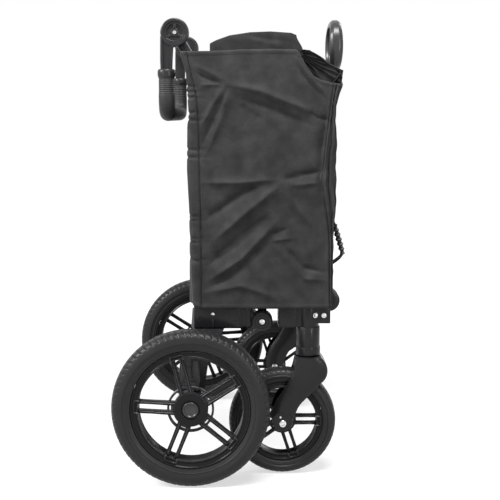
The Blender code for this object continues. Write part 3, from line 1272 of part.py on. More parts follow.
def build():
    root = group("folding_wagon_rear_frame", -ORIGIN_X, 0.0, 0.0)
    floor_rear = group("floor_rear", REAR_PIVOT_X, 0.0, FLOOR_Z, root)
    floor_front = group("floor_front", HINGE_X - REAR_PIVOT_X, 0.0, HINGE_Z - FLOOR_Z, floor_rear)
    front = group("front_frame", -HINGE_X, 0.0, -HINGE_Z, floor_front)
    hem = group("side_hem", 0.0, 0.0, 0.0, root)
    for word, side in SIDES:
        build_rear_bracket(word, side, root)
        build_rear_post(word, side, root)
        build_rear_leg(word, side, root)
        build_brake_unit(word, side, root)
        build_rail_bolt(word, side, root)
        build_rear_wheel(word, side, root)
        build_side_wall(word, side, root)
        build_front_bracket(word, side, front)
        build_front_post(word, side, front)
        build_sleeve(word, side, front)
        build_caster(word, side, front)
        build_hem(word, side, hem)
    build_rear_axle(root)
    lower, upper = BRACKET_INNER_Y - SEAT_GAP, POST_Y - POST_RADIUS - SEAT_GAP
    build_cross_tube("rear_lower_tube", REAR_CROSS_X, CROSS_Z, CROSS_RADIUS, lower, root)
    build_cross_tube("rear_upper_tube", REAR_POST_X, UPPER_CROSS_Z, UPPER_CROSS_RADIUS, upper, root)
    build_cross_tube("front_lower_tube", FRONT_CROSS_X, CROSS_Z, CROSS_RADIUS, lower, front)
    build_cross_tube("front_upper_tube", FRONT_POST_X, UPPER_CROSS_Z, UPPER_CROSS_RADIUS, upper, front)
    build_rear_wall(root)
    build_front_wall(front)
    build_strap(front)
    build_brake(root)
    build_handle(root)
    build_pull_bracket(front)
    build_pull_bar(front)
    build_floor_half("floor_frame_rear", floor_rear, FOLD_ANGLE, REAR_RAIL_Y, FRONT_RAIL_Y, REAR_TIES, True)
    build_mat("floor_mat_rear", floor_rear, FOLD_ANGLE, 1)
    front_rails = group("front_rails", FRONT_PIVOT_X - HINGE_X, 0.0, FLOOR_Z - HINGE_Z, floor_front)
    build_floor_half("floor_frame_front", front_rails, math.pi - FOLD_ANGLE, FRONT_RAIL_Y, REAR_RAIL_Y,
                     FRONT_TIES, False)
    build_mat("floor_mat_front", front_rails, math.pi - FOLD_ANGLE, -1)


build()
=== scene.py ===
"""Folding wagon, folded and standing on its wheels, dressed for a plain studio picture.

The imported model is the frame. Each sub-assembly is a class that builds its pieces over the frame's nodes in
metres, +X towards the wagon's front and +Z up, and gives them their finishes.
"""

import logging
import math
from dataclasses import dataclass
from enum import Enum
from typing import Callable, Iterable, Optional, Sequence

import bmesh
import bpy
from mathutils import Matrix, Vector, noise


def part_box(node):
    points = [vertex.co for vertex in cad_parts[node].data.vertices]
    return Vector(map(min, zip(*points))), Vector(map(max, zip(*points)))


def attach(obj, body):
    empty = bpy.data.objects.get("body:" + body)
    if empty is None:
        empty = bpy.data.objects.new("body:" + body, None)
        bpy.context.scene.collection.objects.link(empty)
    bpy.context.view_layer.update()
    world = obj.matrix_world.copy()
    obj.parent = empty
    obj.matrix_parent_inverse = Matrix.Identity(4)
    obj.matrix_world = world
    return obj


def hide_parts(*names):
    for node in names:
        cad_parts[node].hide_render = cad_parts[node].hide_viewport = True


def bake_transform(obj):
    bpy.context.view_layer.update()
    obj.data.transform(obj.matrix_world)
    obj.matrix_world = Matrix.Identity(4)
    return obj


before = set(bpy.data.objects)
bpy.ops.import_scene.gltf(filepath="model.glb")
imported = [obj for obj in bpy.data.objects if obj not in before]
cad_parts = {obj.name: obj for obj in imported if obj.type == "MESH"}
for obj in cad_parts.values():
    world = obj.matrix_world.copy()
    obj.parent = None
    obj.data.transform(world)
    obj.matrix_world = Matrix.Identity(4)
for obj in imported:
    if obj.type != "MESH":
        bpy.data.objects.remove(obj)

LOG = logging.getLogger("folding_wagon")
AXLE_X = -0.0785354
Point = tuple[float, float]
Place = Sequence[float]
Colour = tuple[float, float, float]
Socket = bpy.types.NodeSocket
Verts = list[bmesh.types.BMVert]


class Side(Enum):
    """The wagon's two sides, with the sign of Y on each."""

    RIGHT = -1
    LEFT = 1

    @property
    def word(self) -> str:
        """The side's name as the nodes spell it."""
        return self.name.lower()


def smoothstep(low: float, high: float, value: float) -> float:
    """Eased share of the way from low to high.

    Args:
        low: Value where the share is 0.
        high: Value where the share is 1.
        value: Value to place between them.

    Returns:
        A share from 0 to 1.
    """
    share = min(1.0, max(0.0, (value - low) / (high - low)))
    return share * share * (3 - 2 * share)


def along(line: Sequence[Point], place: float) -> float:
    """Reads a line of (place, value) points at a place.

    Args:
        line: Points in rising order of place.
        place: Where to read the line.

    Returns:
        The value, held at its ends beyond the line.
    """
    if place <= line[0][0]:
        return line[0][1]
    for (a, low), (b, high) in zip(line, line[1:]):
        if place <= b:
            return low + (high - low) * (place - a) / (b - a)
    return line[-1][1]


def bulge(share: float, power: float = 1.0) -> float:
    """Half a wave over shares from 0 to 1, raised to a power, and 0 beyond them.

    Args:
        share: Place on the wave.
        power: The power. Below 1 it makes the wave fuller.

    Returns:
        A value from 0 to 1.
    """
    return max(0.0, math.sin(math.pi * min(1.0, max(0.0, share)))) ** power


def arc(centre: Point, radius: float, start: float, end: float, count: int) -> list[Point]:
    """Points on a circle's arc.

    Args:
        centre: The circle's middle.
        radius: The circle's radius.
        start: First angle in degrees.
        end: Last angle in degrees.
        count: Number of steps between them.

    Returns:
        count + 1 points.
    """
    turns = [math.radians(start + (end - start) * k / count) for k in range(count + 1)]
    return [(centre[0] + radius * math.cos(t), centre[1] + radius * math.sin(t)) for t in turns]


def rounded(points: Sequence[Vector], radius: float, steps: int = 8) -> list[Vector]:
    """Rounds the corners of an open path.

    Args:
        points: The path's corners.
        radius: Length cut from each side of a corner.
        steps: Steps in each rounded corner.

    Returns:
        The path with its corners as curves.
    """
    path = [Vector(points[0])]
    for before, corner, after in zip(points, points[1:], points[2:]):
        a, b, c = Vector(before), Vector(corner), Vector(after)
        cut = min(radius, 0.5 * (a - b).length, 0.5 * (c - b).length)
        start, end = b + (a - b).normalized() * cut, b + (c - b).normalized() * cut
        for k in range(steps + 1):
            t = k / steps
            path.append(start * (1 - t) ** 2 + b * (2 * t * (1 - t)) + end * t ** 2)
    path.append(Vector(points[-1]))
    return path


def from_axle(x: float) -> float:
    """Turns a length forward of the rear axle into the frame's own X."""
    return x + AXLE_X


def resampled(path: Sequence[Vector], step: float) -> list[Vector]:
    """Spreads points evenly along a path.

    Args:
        path: The path.
        step: About how far apart the points lie.

    Returns:
        The evenly spaced path.
    """
    reach = [0.0]
    for a, b in zip(path, path[1:]):
        reach.append(reach[-1] + (b - a).length)
    count = max(2, round(reach[-1] / step))
    out, k = [], 0
    for n in range(count + 1):
        want = reach[-1] * n / count
        while k < len(path) - 2 and reach[k + 1] < want:
            k += 1
        share = (want - reach[k]) / max(reach[k + 1] - reach[k], 1e-9)
        out.append(path[k].lerp(path[k + 1], min(1.0, max(0.0, share))))
    return out


def metres(*pairs: Point) -> tuple[Point, ...]:
    """Turns points given in millimetres into metres."""
    return tuple((a / 1000, b / 1000) for a, b in pairs)


def side_on(*points: Point) -> list[Point]:
    """Turns points given in millimetres forward of the rear axle into an outline in the frame."""
    return [(from_axle(x), z) for x, z in metres(*points)]


def oblong(x0: float, x1: float, z0: float, z1: float) -> list[Point]:
    """Outline of an upright oblong, given in millimetres forward of the rear axle."""
    return side_on((x0, z1), (x0, z0), (x1, z0), (x1, z1))


def ridge(distance: float, width: float) -> float:
    """Height of a soft ridge, 1 on its line, at a distance from it."""
    return math.exp(-((distance / width) ** 2))


def uneven(x: float, y: float, z: float) -> float:
    """Smooth noise at a place, about -1 to 1."""
    return noise.noise(Vector((x, y, z)))


def superellipse(angle: float, power: float) -> float:
    """Radius of a square with rounded corners at an angle. A higher power makes it squarer."""
    return (abs(math.cos(angle)) ** power + abs(math.sin(angle)) ** power) ** (-1 / power)


class NodeSheet:
    """A material's node tree, with short calls for the nodes that the finishes share."""

    def __init__(self, name: str) -> None:
        """Starts a material with the given name.

        Args:
            name: The material's name.
        """
        self.material = bpy.data.materials.new(name)
        self.material.use_nodes = True
        self.tree = self.material.node_tree
        self.shader = self.tree.nodes["Principled BSDF"]
        self.place = self.add("ShaderNodeTexCoord").outputs["Object"]

    def add(self, kind: str, **settings: object) -> bpy.types.Node:
        """Adds a node.

        Args:
            kind: Blender's name of the node type.
            settings: Node properties to set.

        Returns:
            The new node.
        """
        node = self.tree.nodes.new(kind)
        for name, value in settings.items():
            setattr(node, name, value)
        return node

    def link(self, source: Socket, target: Socket) -> None:
        """Joins an output to an input."""
        self.tree.links.new(source, target)

    def mapped(self, scale: Place, turn: Place = (0, 0, 0)) -> Socket:
        """Object coordinates, scaled and turned.

        Args:
            scale: Scale on each axis.
            turn: Rotation on each axis, in radians.

        Returns:
            The mapped coordinates.
        """
        node = self.add("ShaderNodeMapping")
        node.inputs["Scale"].default_value = scale
        node.inputs["Rotation"].default_value = turn
        self.link(self.place, node.inputs["Vector"])
        return node.outputs["Vector"]

    def noise(self, scale: float, detail: float = 3.0, place: Optional[Socket] = None
              ) -> Socket:
        """Noise of a given fineness.

        Args:
            scale: Cells per metre.
            detail: Octaves.
            place: Coordinates, or Object coordinates where none are given.

        Returns:
            The noise from 0 to 1.
        """
        node = self.add("ShaderNodeTexNoise")
        node.inputs["Scale"].default_value = scale
        node.inputs["Detail"].default_value = detail
        self.link(place or self.place, node.inputs["Vector"])
        return node.outputs["Fac"]

    def waves(self, period: float, turn: Place, distortion: float = 0.6) -> Socket:
        """Parallel threads across the surface.

        Args:
            period: Distance from thread to thread, in metres.
            turn: Rotation that lays the threads, in radians.
            distortion: How unevenly they run.

        Returns:
            The threads' height from 0 to 1.
        """
        node = self.add("ShaderNodeTexWave", wave_type="BANDS", bands_direction="X", wave_profile="SIN")
        node.inputs["Scale"].default_value = math.tau / (20 * period)
        node.inputs["Distortion"].default_value = distortion
        node.inputs["Detail"].default_value = 1.0
        self.link(self.mapped((1, 1, 1), turn), node.inputs["Vector"])
        return node.outputs["Fac"]

    def scaled(self, value: Socket, low: float, high: float) -> Socket:
        """Spreads a 0 to 1 value over a range.

        Args:
            value: The value.
            low: Result for 0.
            high: Result for 1.

        Returns:
            The spread value.
        """
        node = self.add("ShaderNodeMapRange")
        node.inputs["To Min"].default_value = low
        node.inputs["To Max"].default_value = high
        self.link(value, node.inputs["Value"])
        return node.outputs["Result"]

    def joined(self, operation: str, a: Socket, b: Socket) -> Socket:
        """Two values through a Math node.

        Args:
            operation: Blender's name of the operation.
            a: First value.
            b: Second value.

        Returns:
            The result.
        """
        node = self.add("ShaderNodeMath", operation=operation)
        self.link(a, node.inputs[0])
        self.link(b, node.inputs[1])
        return node.outputs["Value"]

    def blended(self, share: Socket, first: Colour, second: Colour) -> Socket:
        """Two colours mixed by a share.

        Args:
            share: 0 for the first colour, 1 for the second.
            first: A linear colour.
            second: A linear colour.

        Returns:
            The mixed colour.
        """
        node = self.add("ShaderNodeMix", data_type="RGBA")
        node.inputs[6].default_value = (*first, 1.0)
        node.inputs[7].default_value = (*second, 1.0)
        self.link(share, node.inputs[0])
        return node.outputs[2]

    def edges(self, start: float = 0.53, end: float = 0.62) -> Socket:
        """Marks sharp edges, from the mesh's own sharpness: rubbed edges, and on the wheel moulding a painted
        edge highlight.

        Args:
            start: Sharpness where the paler edge begins.
            end: Sharpness where it is full.

        Returns:
            Share of paler edge from 0 to 1.
        """
        node = self.add("ShaderNodeMapRange")
        node.inputs["From Min"].default_value = start
        node.inputs["From Max"].default_value = end
        self.link(self.add("ShaderNodeNewGeometry").outputs["Pointiness"], node.inputs["Value"])
        return node.outputs["Result"]

    def bump(self, height: Socket, distance: float, strength: float = 1.0) -> None:
        """Adds a layer of bump to the shader.

        Args:
            height: Height from 0 to 1.
            distance: Height of 1, in metres.
            strength: Share of the bump that is used.
        """
        node = self.add("ShaderNodeBump")
        node.inputs["Strength"].default_value = strength
        node.inputs["Distance"].default_value = distance
        self.link(height, node.inputs["Height"])
        target = self.shader.inputs["Normal"]
        if target.is_linked:
            self.link(target.links[0].from_socket, node.inputs["Normal"])
        self.link(node.outputs["Normal"], target)

    def paint(self, colour: Socket, roughness: Socket) -> None:
        """Joins a colour and a roughness to the shader."""
        self.link(colour, self.shader.inputs["Base Color"])
        self.link(roughness, self.shader.inputs["Roughness"])

    def steady(self, **values: object) -> None:
        """Sets constant values on the shader's own sockets, spaces in a name written as underscores."""
        for name, value in values.items():
            self.shader.inputs[name.replace("_", " ")].default_value = value


def show(obj: bpy.types.Object) -> None:
    """Puts an object into the scene."""
    bpy.context.scene.collection.objects.link(obj)


def shade(colour: Colour, factor: float) -> Colour:
    """A colour made lighter or darker by a factor."""
    return (colour[0] * factor, colour[1] * factor, colour[2] * factor)


@dataclass(frozen=True)
class Finish:
    """A surface finish. A subclass paints its own nodes."""

    name: str
    slot: str
    colour: Colour
    roughness: float

    def paint(self, sheet: NodeSheet) -> None:
        """Fills the sheet. Each kind of finish has its own."""
        raise NotImplementedError

    def material(self) -> bpy.types.Material:
        """The finish as a material, made on its first use.

        Returns:
            The material.
        """
        found = bpy.data.materials.get(self.name)
        if found:
            return found
        sheet = NodeSheet(self.name)
        self.paint(sheet)
        sheet.material.diffuse_color = (*self.colour, 1.0)
        return sheet.material


@dataclass(frozen=True)
class Cloth(Finish):
    """Coated woven cloth: threads both ways, a soft sheen, and lighter rubbed places."""

    thread: float = 0.0007
    weave: float = 0.00018
    sheen: float = 0.05

    def paint(self, sheet: NodeSheet) -> None:
        """Fills the sheet with the weave.

        Args:
            sheet: The sheet.
        """
        quarter = math.pi / 4
        across = sheet.waves(self.thread, (0, 0, quarter))
        upright = sheet.waves(self.thread, (0, math.pi / 2, 0))
        threads = sheet.joined("MAXIMUM", across, upright)
        mottle = sheet.noise(38, 4)
        heather = sheet.noise(1500, 1)
        share = sheet.joined("MULTIPLY", mottle, heather)
        colour = sheet.blended(sheet.scaled(share, -0.4, 2.6), shade(self.colour, 0.6),
            shade(self.colour, 1.45))
        sheet.paint(colour, sheet.scaled(mottle, self.roughness - 0.07, self.roughness + 0.07))
        sheet.bump(threads, self.weave, 0.55)
        sheet.bump(sheet.noise(120, 3), 0.0009, 0.3)
        sheet.steady(Sheen_Weight=self.sheen, Sheen_Roughness=0.45, Specular_IOR_Level=0.06)


@dataclass(frozen=True)
class Moulding(Finish):
    """Moulded plastic with a fine grain, a little unevenness, and paler edges: rubbed, and on the wheel
    moulding, where they pale most, a painted highlight along the edges.
    """

    grain: float = 900.0
    depth: float = 0.00008
    wear: float = 2.0
    gloss: float = 0.2

    def paint(self, sheet: NodeSheet) -> None:
        """Fills the sheet with the grain.

        Args:
            sheet: The sheet.
        """
        # Paler edges: rubbed places, and for the wheel moulding a painted highlight standing in for the
        # bright reflections along its edges.
        worn = sheet.joined("MULTIPLY", sheet.edges(), sheet.noise(160, 2))
        colour = sheet.blended(worn, self.colour, shade(self.colour, self.wear))
        smear = sheet.noise(26, 4)
        sheet.paint(colour, sheet.scaled(smear, self.roughness - 0.08, self.roughness + 0.1))
        sheet.bump(sheet.noise(self.grain, 2), self.depth, 0.5)
        sheet.bump(sheet.noise(34, 2), 0.0006, 0.12)
        sheet.steady(Specular_IOR_Level=self.gloss)


@dataclass(frozen=True)
class Rubber(Finish):
    """Matt tyre rubber with mottled dust over it."""

    dust: float = 1.7

    def paint(self, sheet: NodeSheet) -> None:
        """Fills the sheet with dust and scuffs.

        Args:
            sheet: The sheet.
        """
        dust = sheet.joined("MULTIPLY", sheet.noise(24, 5), sheet.noise(420, 3))
        colour = sheet.blended(sheet.scaled(dust, 0.0, 1.8), shade(self.colour, 0.85),
            shade(self.colour, self.dust))
        sheet.paint(colour, sheet.scaled(sheet.noise(60, 3), self.roughness - 0.06, self.roughness + 0.08))
        sheet.bump(sheet.noise(700, 3), 0.00015, 0.5)
        sheet.bump(sheet.noise(90, 2), 0.0004, 0.2)
        sheet.steady(Specular_IOR_Level=0.19)


@dataclass(frozen=True)
class Coating(Finish):
    """Powder coat on tube: orange peel and small scuffs."""

    def paint(self, sheet: NodeSheet) -> None:
        """Fills the sheet with orange peel.

        Args:
            sheet: The sheet.
        """
        scuff = sheet.joined("MULTIPLY", sheet.edges(0.52, 0.6), sheet.noise(210, 3))
        sheet.paint(sheet.blended(scuff, self.colour, shade(self.colour, 3.0)),
            sheet.scaled(sheet.noise(45, 3), self.roughness - 0.07, self.roughness + 0.09))
        sheet.bump(sheet.noise(1100, 2), 0.00009, 0.5)
        sheet.steady(Specular_IOR_Level=0.15)


@dataclass(frozen=True)
class Metal(Finish):
    """Bright drawn steel with a brushed grain."""

    def paint(self, sheet: NodeSheet) -> None:
        """Fills the sheet with brush marks.

        Args:
            sheet: The sheet.
        """
        brushed = sheet.noise(1.0, 3, sheet.mapped((260, 2600, 260)))
        sheet.paint(sheet.blended(brushed, shade(self.colour, 0.82), self.colour), sheet.scaled(brushed,
            self.roughness - 0.08, self.roughness + 0.12))
        sheet.bump(brushed, 0.00003, 0.4)
        sheet.steady(Metallic=1.0)


@dataclass(frozen=True)
class Webbing(Finish):
    """Flat woven strap with ribs across it."""

    rib: float = 0.0016

    def paint(self, sheet: NodeSheet) -> None:
        """Fills the sheet with ribs and threads.

        Args:
            sheet: The sheet.
        """
        ribs = sheet.waves(self.rib, (0, math.pi / 2, 0), 0.2)
        threads = sheet.waves(0.0005, (0, 0, math.pi / 4))
        sheet.paint(sheet.blended(sheet.joined("MULTIPLY", ribs, sheet.noise(700, 2)),
            shade(self.colour, 0.7), shade(self.colour, 1.5)), sheet.scaled(ribs, self.roughness - 0.05,
            self.roughness + 0.1))
        sheet.bump(ribs, 0.0004, 0.7)
        sheet.bump(threads, 0.0001, 0.4)
        sheet.steady(Sheen_Weight=0.04, Sheen_Roughness=0.5, Specular_IOR_Level=0.1)


CLOTH = Cloth("charcoal_cloth", "dark_fabric", (0.0315, 0.0315, 0.0325), 0.62)
# A darker copy of the cloth, for the gathered top and its fans: painted shade, standing in for the shade
# inside the folded inner layers.
INNER_FOLD_SHADE_CLOTH = Cloth("lining_cloth", "dark_fabric", (0.022, 0.022, 0.023), 0.7, 0.0009, 0.00015, 0.03)
# A darker copy of the cloth, for the top roll: painted shade, standing in for the shade that the roll takes
# as it leans away from the light.
PAINTED_SHADE_CLOTH = Cloth("shaded_cloth", "dark_fabric", (0.025, 0.025, 0.026), 0.64)
MAT_CLOTH = Cloth("mat_cloth", "dark_fabric", (0.026, 0.026, 0.028), 0.78, 0.0012, 0.0003, 0.06)
THREAD = Cloth("sewing_thread", "dark_fabric", (0.05, 0.05, 0.052), 0.6, 0.0006, 0.0002, 0.04)
SATIN = Moulding("satin_moulding", "moulded_black", (0.01, 0.01, 0.011), 0.24)
GLOSS = Moulding("glossy_moulding", "moulded_black", (0.02, 0.02, 0.021), 0.27, 700.0, 0.00004, 2.6, 0.42)
# The wheel moulding's edges pale to twelve times its colour: a painted highlight, standing in for the thin
# bright reflections along the rim's and bars' edges.
WHEEL = Moulding("wheel_moulding", "wheel_plastic", (0.0065, 0.0065, 0.007), 0.24, 900.0, 0.00005, 12.0, 0.13)
HANDLE = Moulding("handle_moulding", "moulded_black", (0.014, 0.014, 0.015), 0.3, 700.0, 0.00005, 2.6, 0.26)
GREY = Moulding("dark_grey_moulding", "grey_plastic", (0.09, 0.09, 0.092), 0.45, 800.0, 0.00008, 1.2)
TYRE = Rubber("tyre_rubber_worn", "tyre_rubber", (0.012, 0.012, 0.0125), 0.37)
GRIP = Rubber("grip_rubber", "grip_foam", (0.024, 0.024, 0.025), 0.5, 1.3)
TUBE = Coating("black_powder_coat", "frame_paint", (0.015, 0.015, 0.016), 0.36)
STEEL = Metal("bright_steel", "bare_steel", (0.66, 0.66, 0.67), 0.26)
STRAP = Webbing("strap_webbing", "moulded_black", (0.02, 0.02, 0.021), 0.75)


class Form:
    """A mesh under construction, shaped by bmesh operators in the wagon's own frame."""

    def __init__(self, name: str) -> None:
        """Starts an empty form that will carry the given name."""
        self.name = name
        self.bm = bmesh.new()

    def lathe(self, profile: Sequence[Point], centre: Place, steps: int = 48, axis: str = "Y",
              out: float = 1.0, closed: bool = False) -> Verts:
        """Spins a profile of (radius, height) points round an axis.

        Args:
            profile: The profile's points.
            centre: A point on the axis, where height is 0.
            steps: Steps round the circle.
            axis: The axis, Y or Z.
            out: Sign of height along the axis.
            closed: Whether the profile is a loop.

        Returns:
            The vertices made.
        """
        line = Vector((0, 1, 0)) if axis == "Y" else Vector((0, 0, 1))
        before = set(self.bm.verts)
        ring = [self.bm.verts.new(Vector(centre) + Vector((r, 0, 0)) + line * (h * out)) for r, h in profile]
        pairs = list(zip(ring, ring[1:] + (ring[:1] if closed else [])))
        edges = [self.bm.edges.new(pair) for pair in (pairs if closed else pairs[:len(ring) - 1])]
        parts = math.gcd(steps, 12)
        bmesh.ops.spin(self.bm, geom=ring + edges, cent=centre, axis=line, angle=math.tau / parts,
            steps=steps // parts, use_merge=False)
        self.repeat([v for v in self.bm.verts if v not in before], centre, parts, line)
        return [v for v in self.bm.verts if v not in before]

    def repeat(self, sector: Verts, centre: Place, count: int,
               line: Place = (0, 1, 0)) -> None:
        """Copies a sector round an axis until the circle closes, and merges the joints.

        Args:
            sector: The sector's vertices.
            centre: A point on the axis.
            count: Sectors in the circle.
            line: Direction of the axis.
        """
        held = set(sector)
        geom = sector + list({e for v in sector for e in v.link_edges}) \
            + list({f for v in sector for f in v.link_faces})
        turn = math.tau / count
        for factor in (2, 2, 2, 2, 2, 3, 3, 5, 7):
            if count % factor:
                continue
            count //= factor
            grown = list(geom)
            for k in range(1, factor):
                copy = bmesh.ops.duplicate(self.bm, geom=geom)["geom"]
                verts = [g for g in copy if isinstance(g, bmesh.types.BMVert)]
                bmesh.ops.rotate(self.bm, verts=verts, cent=centre, matrix=Matrix.Rotation(turn * k, 3, line))
                grown += copy
                held.update(verts)
            geom, turn = grown, turn * factor
        bmesh.ops.remove_doubles(self.bm, verts=list(held), dist=3e-6)

    def prism(self, outline: Sequence[Point], start: float, end: float, edge: float = 0.0,
              segments: int = 2) -> Verts:
        """Extrudes an outline seen from the side along Y and rounds the rims of both ends.

        Args:
            outline: X and Z of its points.
            start: Y of one end.
            end: Y of the other end.
            edge: Width of the rounding, or 0 for none.
            segments: Steps in the rounding.

        Returns:
            The vertices made.
        """
        before = set(self.bm.verts)
        low, high = sorted((start, end))
        verts = [self.bm.verts.new((x, low, z)) for x, z in outline]
        face = self.bm.faces.new(verts)
        grown = bmesh.ops.extrude_face_region(self.bm, geom=[face], use_keep_orig=True)
        moved = [g for g in grown["geom"] if isinstance(g, bmesh.types.BMVert)]
        bmesh.ops.translate(self.bm, verts=moved, vec=(0, high - low, 0))
        made = [v for v in self.bm.verts if v not in before]
        faces = {f for v in made for f in v.link_faces}
        bmesh.ops.recalc_face_normals(self.bm, faces=list(faces))
        if edge:
            first, last = set(verts), set(moved)
            self.soften([e for e in {e for v in made
                for e in v.link_edges} if set(e.verts) <= first or set(e.verts) <= last], edge, segments)
        return [v for v in self.bm.verts if v not in before]

    def soften(self, edges: list[bmesh.types.BMEdge], width: float, segments: int) -> None:
        """Rounds edges with a bevel."""
        bmesh.ops.bevel(self.bm, geom=edges, offset=width, segments=segments, profile=0.5, affect="EDGES",
            material=-1, clamp_overlap=True)

    def turned(self, made: Verts, turn: float, place: Place) -> None:
        """Turns vertices round Y at the origin, in radians, and sets them at a place, their Y kept."""
        bmesh.ops.rotate(self.bm, verts=made, cent=(0, 0, 0), matrix=Matrix.Rotation(turn, 3, "Y"))
        bmesh.ops.translate(self.bm, verts=made, vec=(place[0], 0, place[2]))

    def block(self, low: Place, high: Place, edge: float, segments: int) -> None:
        """A box between two corners, with all its edges rounded.

        Args:
            low: One corner.
            high: The opposite corner.
            edge: Width of the rounding.
            segments: Steps in the rounding.
        """
        size = [abs(b - a) for a, b in zip(low, high)]
        middle = [(a + b) / 2 for a, b in zip(low, high)]
        place = Matrix.Translation(middle) @ Matrix.Diagonal((*size, 1))
        made = bmesh.ops.create_cube(self.bm, size=1.0, matrix=place)["verts"]
        self.soften(list({e for v in made for e in v.link_edges}), edge, segments)

    def sweep(self, path: Sequence[Place], radius: float | Callable[[float], float],
              sides: int = 24, section: Optional[Callable[[float], float]] = None, closed: bool = False,
              flat: float = 1.0, up: Place = (0, 1, 0)) -> Verts:
        """Carries a round section along a path.

        Args:
            path: Points of the path.
            radius: The section's radius, or a function of the share of the path.
            sides: Vertices round the section.
            section: Share of the radius at an angle round the section.
            closed: Whether the path is a loop.
            flat: Width of the section along up, as a share of its radius.
            up: Direction that the section's second axis stays near.

        Returns:
            The vertices made.
        """
        before = set(self.bm.verts)
        points = [Vector(p) for p in path]
        lengths = [0.0]
        for a, b in zip(points, points[1:]):
            lengths.append(lengths[-1] + (b - a).length)
        upright = Vector(up)

        def station(k: int) -> Matrix:
            """Place, heading and size of the section at one point of the path.

            Args:
                k: The point's number.

            Returns:
                The section's matrix.
            """
            last = len(points) - 1
            if closed:
                heading = points[(k + 1) % len(points)] - points[k - 1]
            else:
                heading = points[min(k + 1, last)] - points[max(k - 1, 0)]
            heading.normalize()
            across = upright.cross(heading).normalized()
            share = lengths[k] / lengths[-1]
            size = radius(share) if callable(radius) else radius
            turn = Matrix((across, heading.cross(across).normalized(), heading)).transposed().to_4x4()
            return Matrix.Translation(points[k]) @ turn @ Matrix.Diagonal((size, size * flat, size, 1))

        ring = bmesh.ops.create_circle(self.bm, cap_ends=False, radius=1.0, segments=sides)["verts"]
        if section:
            for v in ring:
                v.co *= section(math.atan2(v.co.y, v.co.x))
        first = list(ring)
        start = station(0)
        bmesh.ops.transform(self.bm, matrix=start, verts=ring)
        edges = list({e for v in ring for e in v.link_edges})
        first_edges, here = list(edges), start
        for k in range(1, len(points)):
            grown = bmesh.ops.extrude_edge_only(self.bm, edges=edges)["geom"]
            ring = [g for g in grown if isinstance(g, bmesh.types.BMVert)]
            edges = [g for g in grown if isinstance(g, bmesh.types.BMEdge)]
            there = station(k)
            bmesh.ops.transform(self.bm, matrix=there @ here.inverted(), verts=ring)
            here = there
        if closed:
            bmesh.ops.bridge_loops(self.bm, edges=edges + first_edges)
        else:
            bmesh.ops.edgeloop_fill(self.bm, edges=first_edges)
            bmesh.ops.edgeloop_fill(self.bm, edges=edges)
        return [v for v in self.bm.verts if v not in before]

    def sheet(self, columns: int, rows: int, surface: Callable[[float, float], Place]
              ) -> Verts:
        """Lays a grid over a surface.

        Args:
            columns: Cells along u.
            rows: Cells along v.
            surface: Point of the surface for u and v from 0 to 1.

        Returns:
            The vertices made.
        """
        made = bmesh.ops.create_grid(self.bm, x_segments=columns, y_segments=rows, size=0.5)["verts"]
        for v in made:
            v.co = surface(v.co.x + 0.5, v.co.y + 0.5)
        return made

    def bolt(self, centre: Place, radius: float, out: float, height: float = 0.003,
             socket: bool = True) -> None:
        """A domed bolt head with a hexagonal socket, its axis along Y.

        Args:
            centre: Middle of the face that it stands on.
            radius: The head's radius.
            out: Side that the head points to.
            height: Height of the head.
            socket: Whether the head has a socket.
        """
        self.lathe([(radius, -height * 0.3), (radius, height * 0.5), (radius * 0.86, height * 0.85),
            (radius * 0.5, height)], centre, 24, "Y", out)
        deep = height * 0.35 if socket else height
        self.lathe([(radius * 0.5, height), (radius * 0.46, deep), (0.0, deep)], centre, 6, "Y", out)

    def object(self, body: str, finish: Finish, angle: float = 32.0, replaces: Iterable[str] = ()
               ) -> bpy.types.Object:
        """Closes the form, gives it its finish and sets it on its body.

        Args:
            body: The body that it rides on, or an empty name for a piece that is placed later.
            finish: The finish.
            angle: Edges sharper than this stay sharp, in degrees.
            replaces: Frame nodes that it stands for.

        Returns:
            The finished object.
        """
        bmesh.ops.recalc_face_normals(self.bm, faces=self.bm.faces[:])
        mesh = bpy.data.meshes.new(self.name)
        self.bm.to_mesh(mesh)
        self.bm.free()
        mesh.shade_smooth()
        mesh.set_sharp_from_angle(angle=math.radians(angle))
        obj = bpy.data.objects.new(self.name, mesh)
        show(obj)
        mesh.materials.append(finish.material())
        if replaces:
            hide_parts(*replaces)
        if body:
            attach(obj, body)
        LOG.info("%s on %s, %d faces", self.name, body or "two bodies", len(mesh.polygons))
        return obj

    def cloth(self, body: str, finish: Finish, angle: float, thickness: float, outward: Place,
              replaces: Iterable[str] = ()) -> bpy.types.Object:
        """Finishes a sheet: turns its faces outwards and gives it a thickness behind them.

        Args:
            body: As for object.
            finish: The finish.
            angle: Edges sharper than this stay sharp, in degrees.
            thickness: The cloth's thickness.
            outward: Direction that most of the faces point to.
            replaces: Frame nodes that it stands for.

        Returns:
            The finished object.
        """
        piece = self.object(body, finish, angle, replaces)
        if sum(p.normal.dot(Vector(outward)) * p.area for p in piece.data.polygons) < 0:
            piece.data.flip_normals()
        wall = piece.modifiers.new("cloth thickness", "SOLIDIFY")
        wall.thickness, wall.offset = thickness, -1.0
        return piece


class Assembly:
    """A group of pieces that is built together."""

    def build(self) -> None:
        """Builds the group's pieces. Each group has its own."""
        raise NotImplementedError


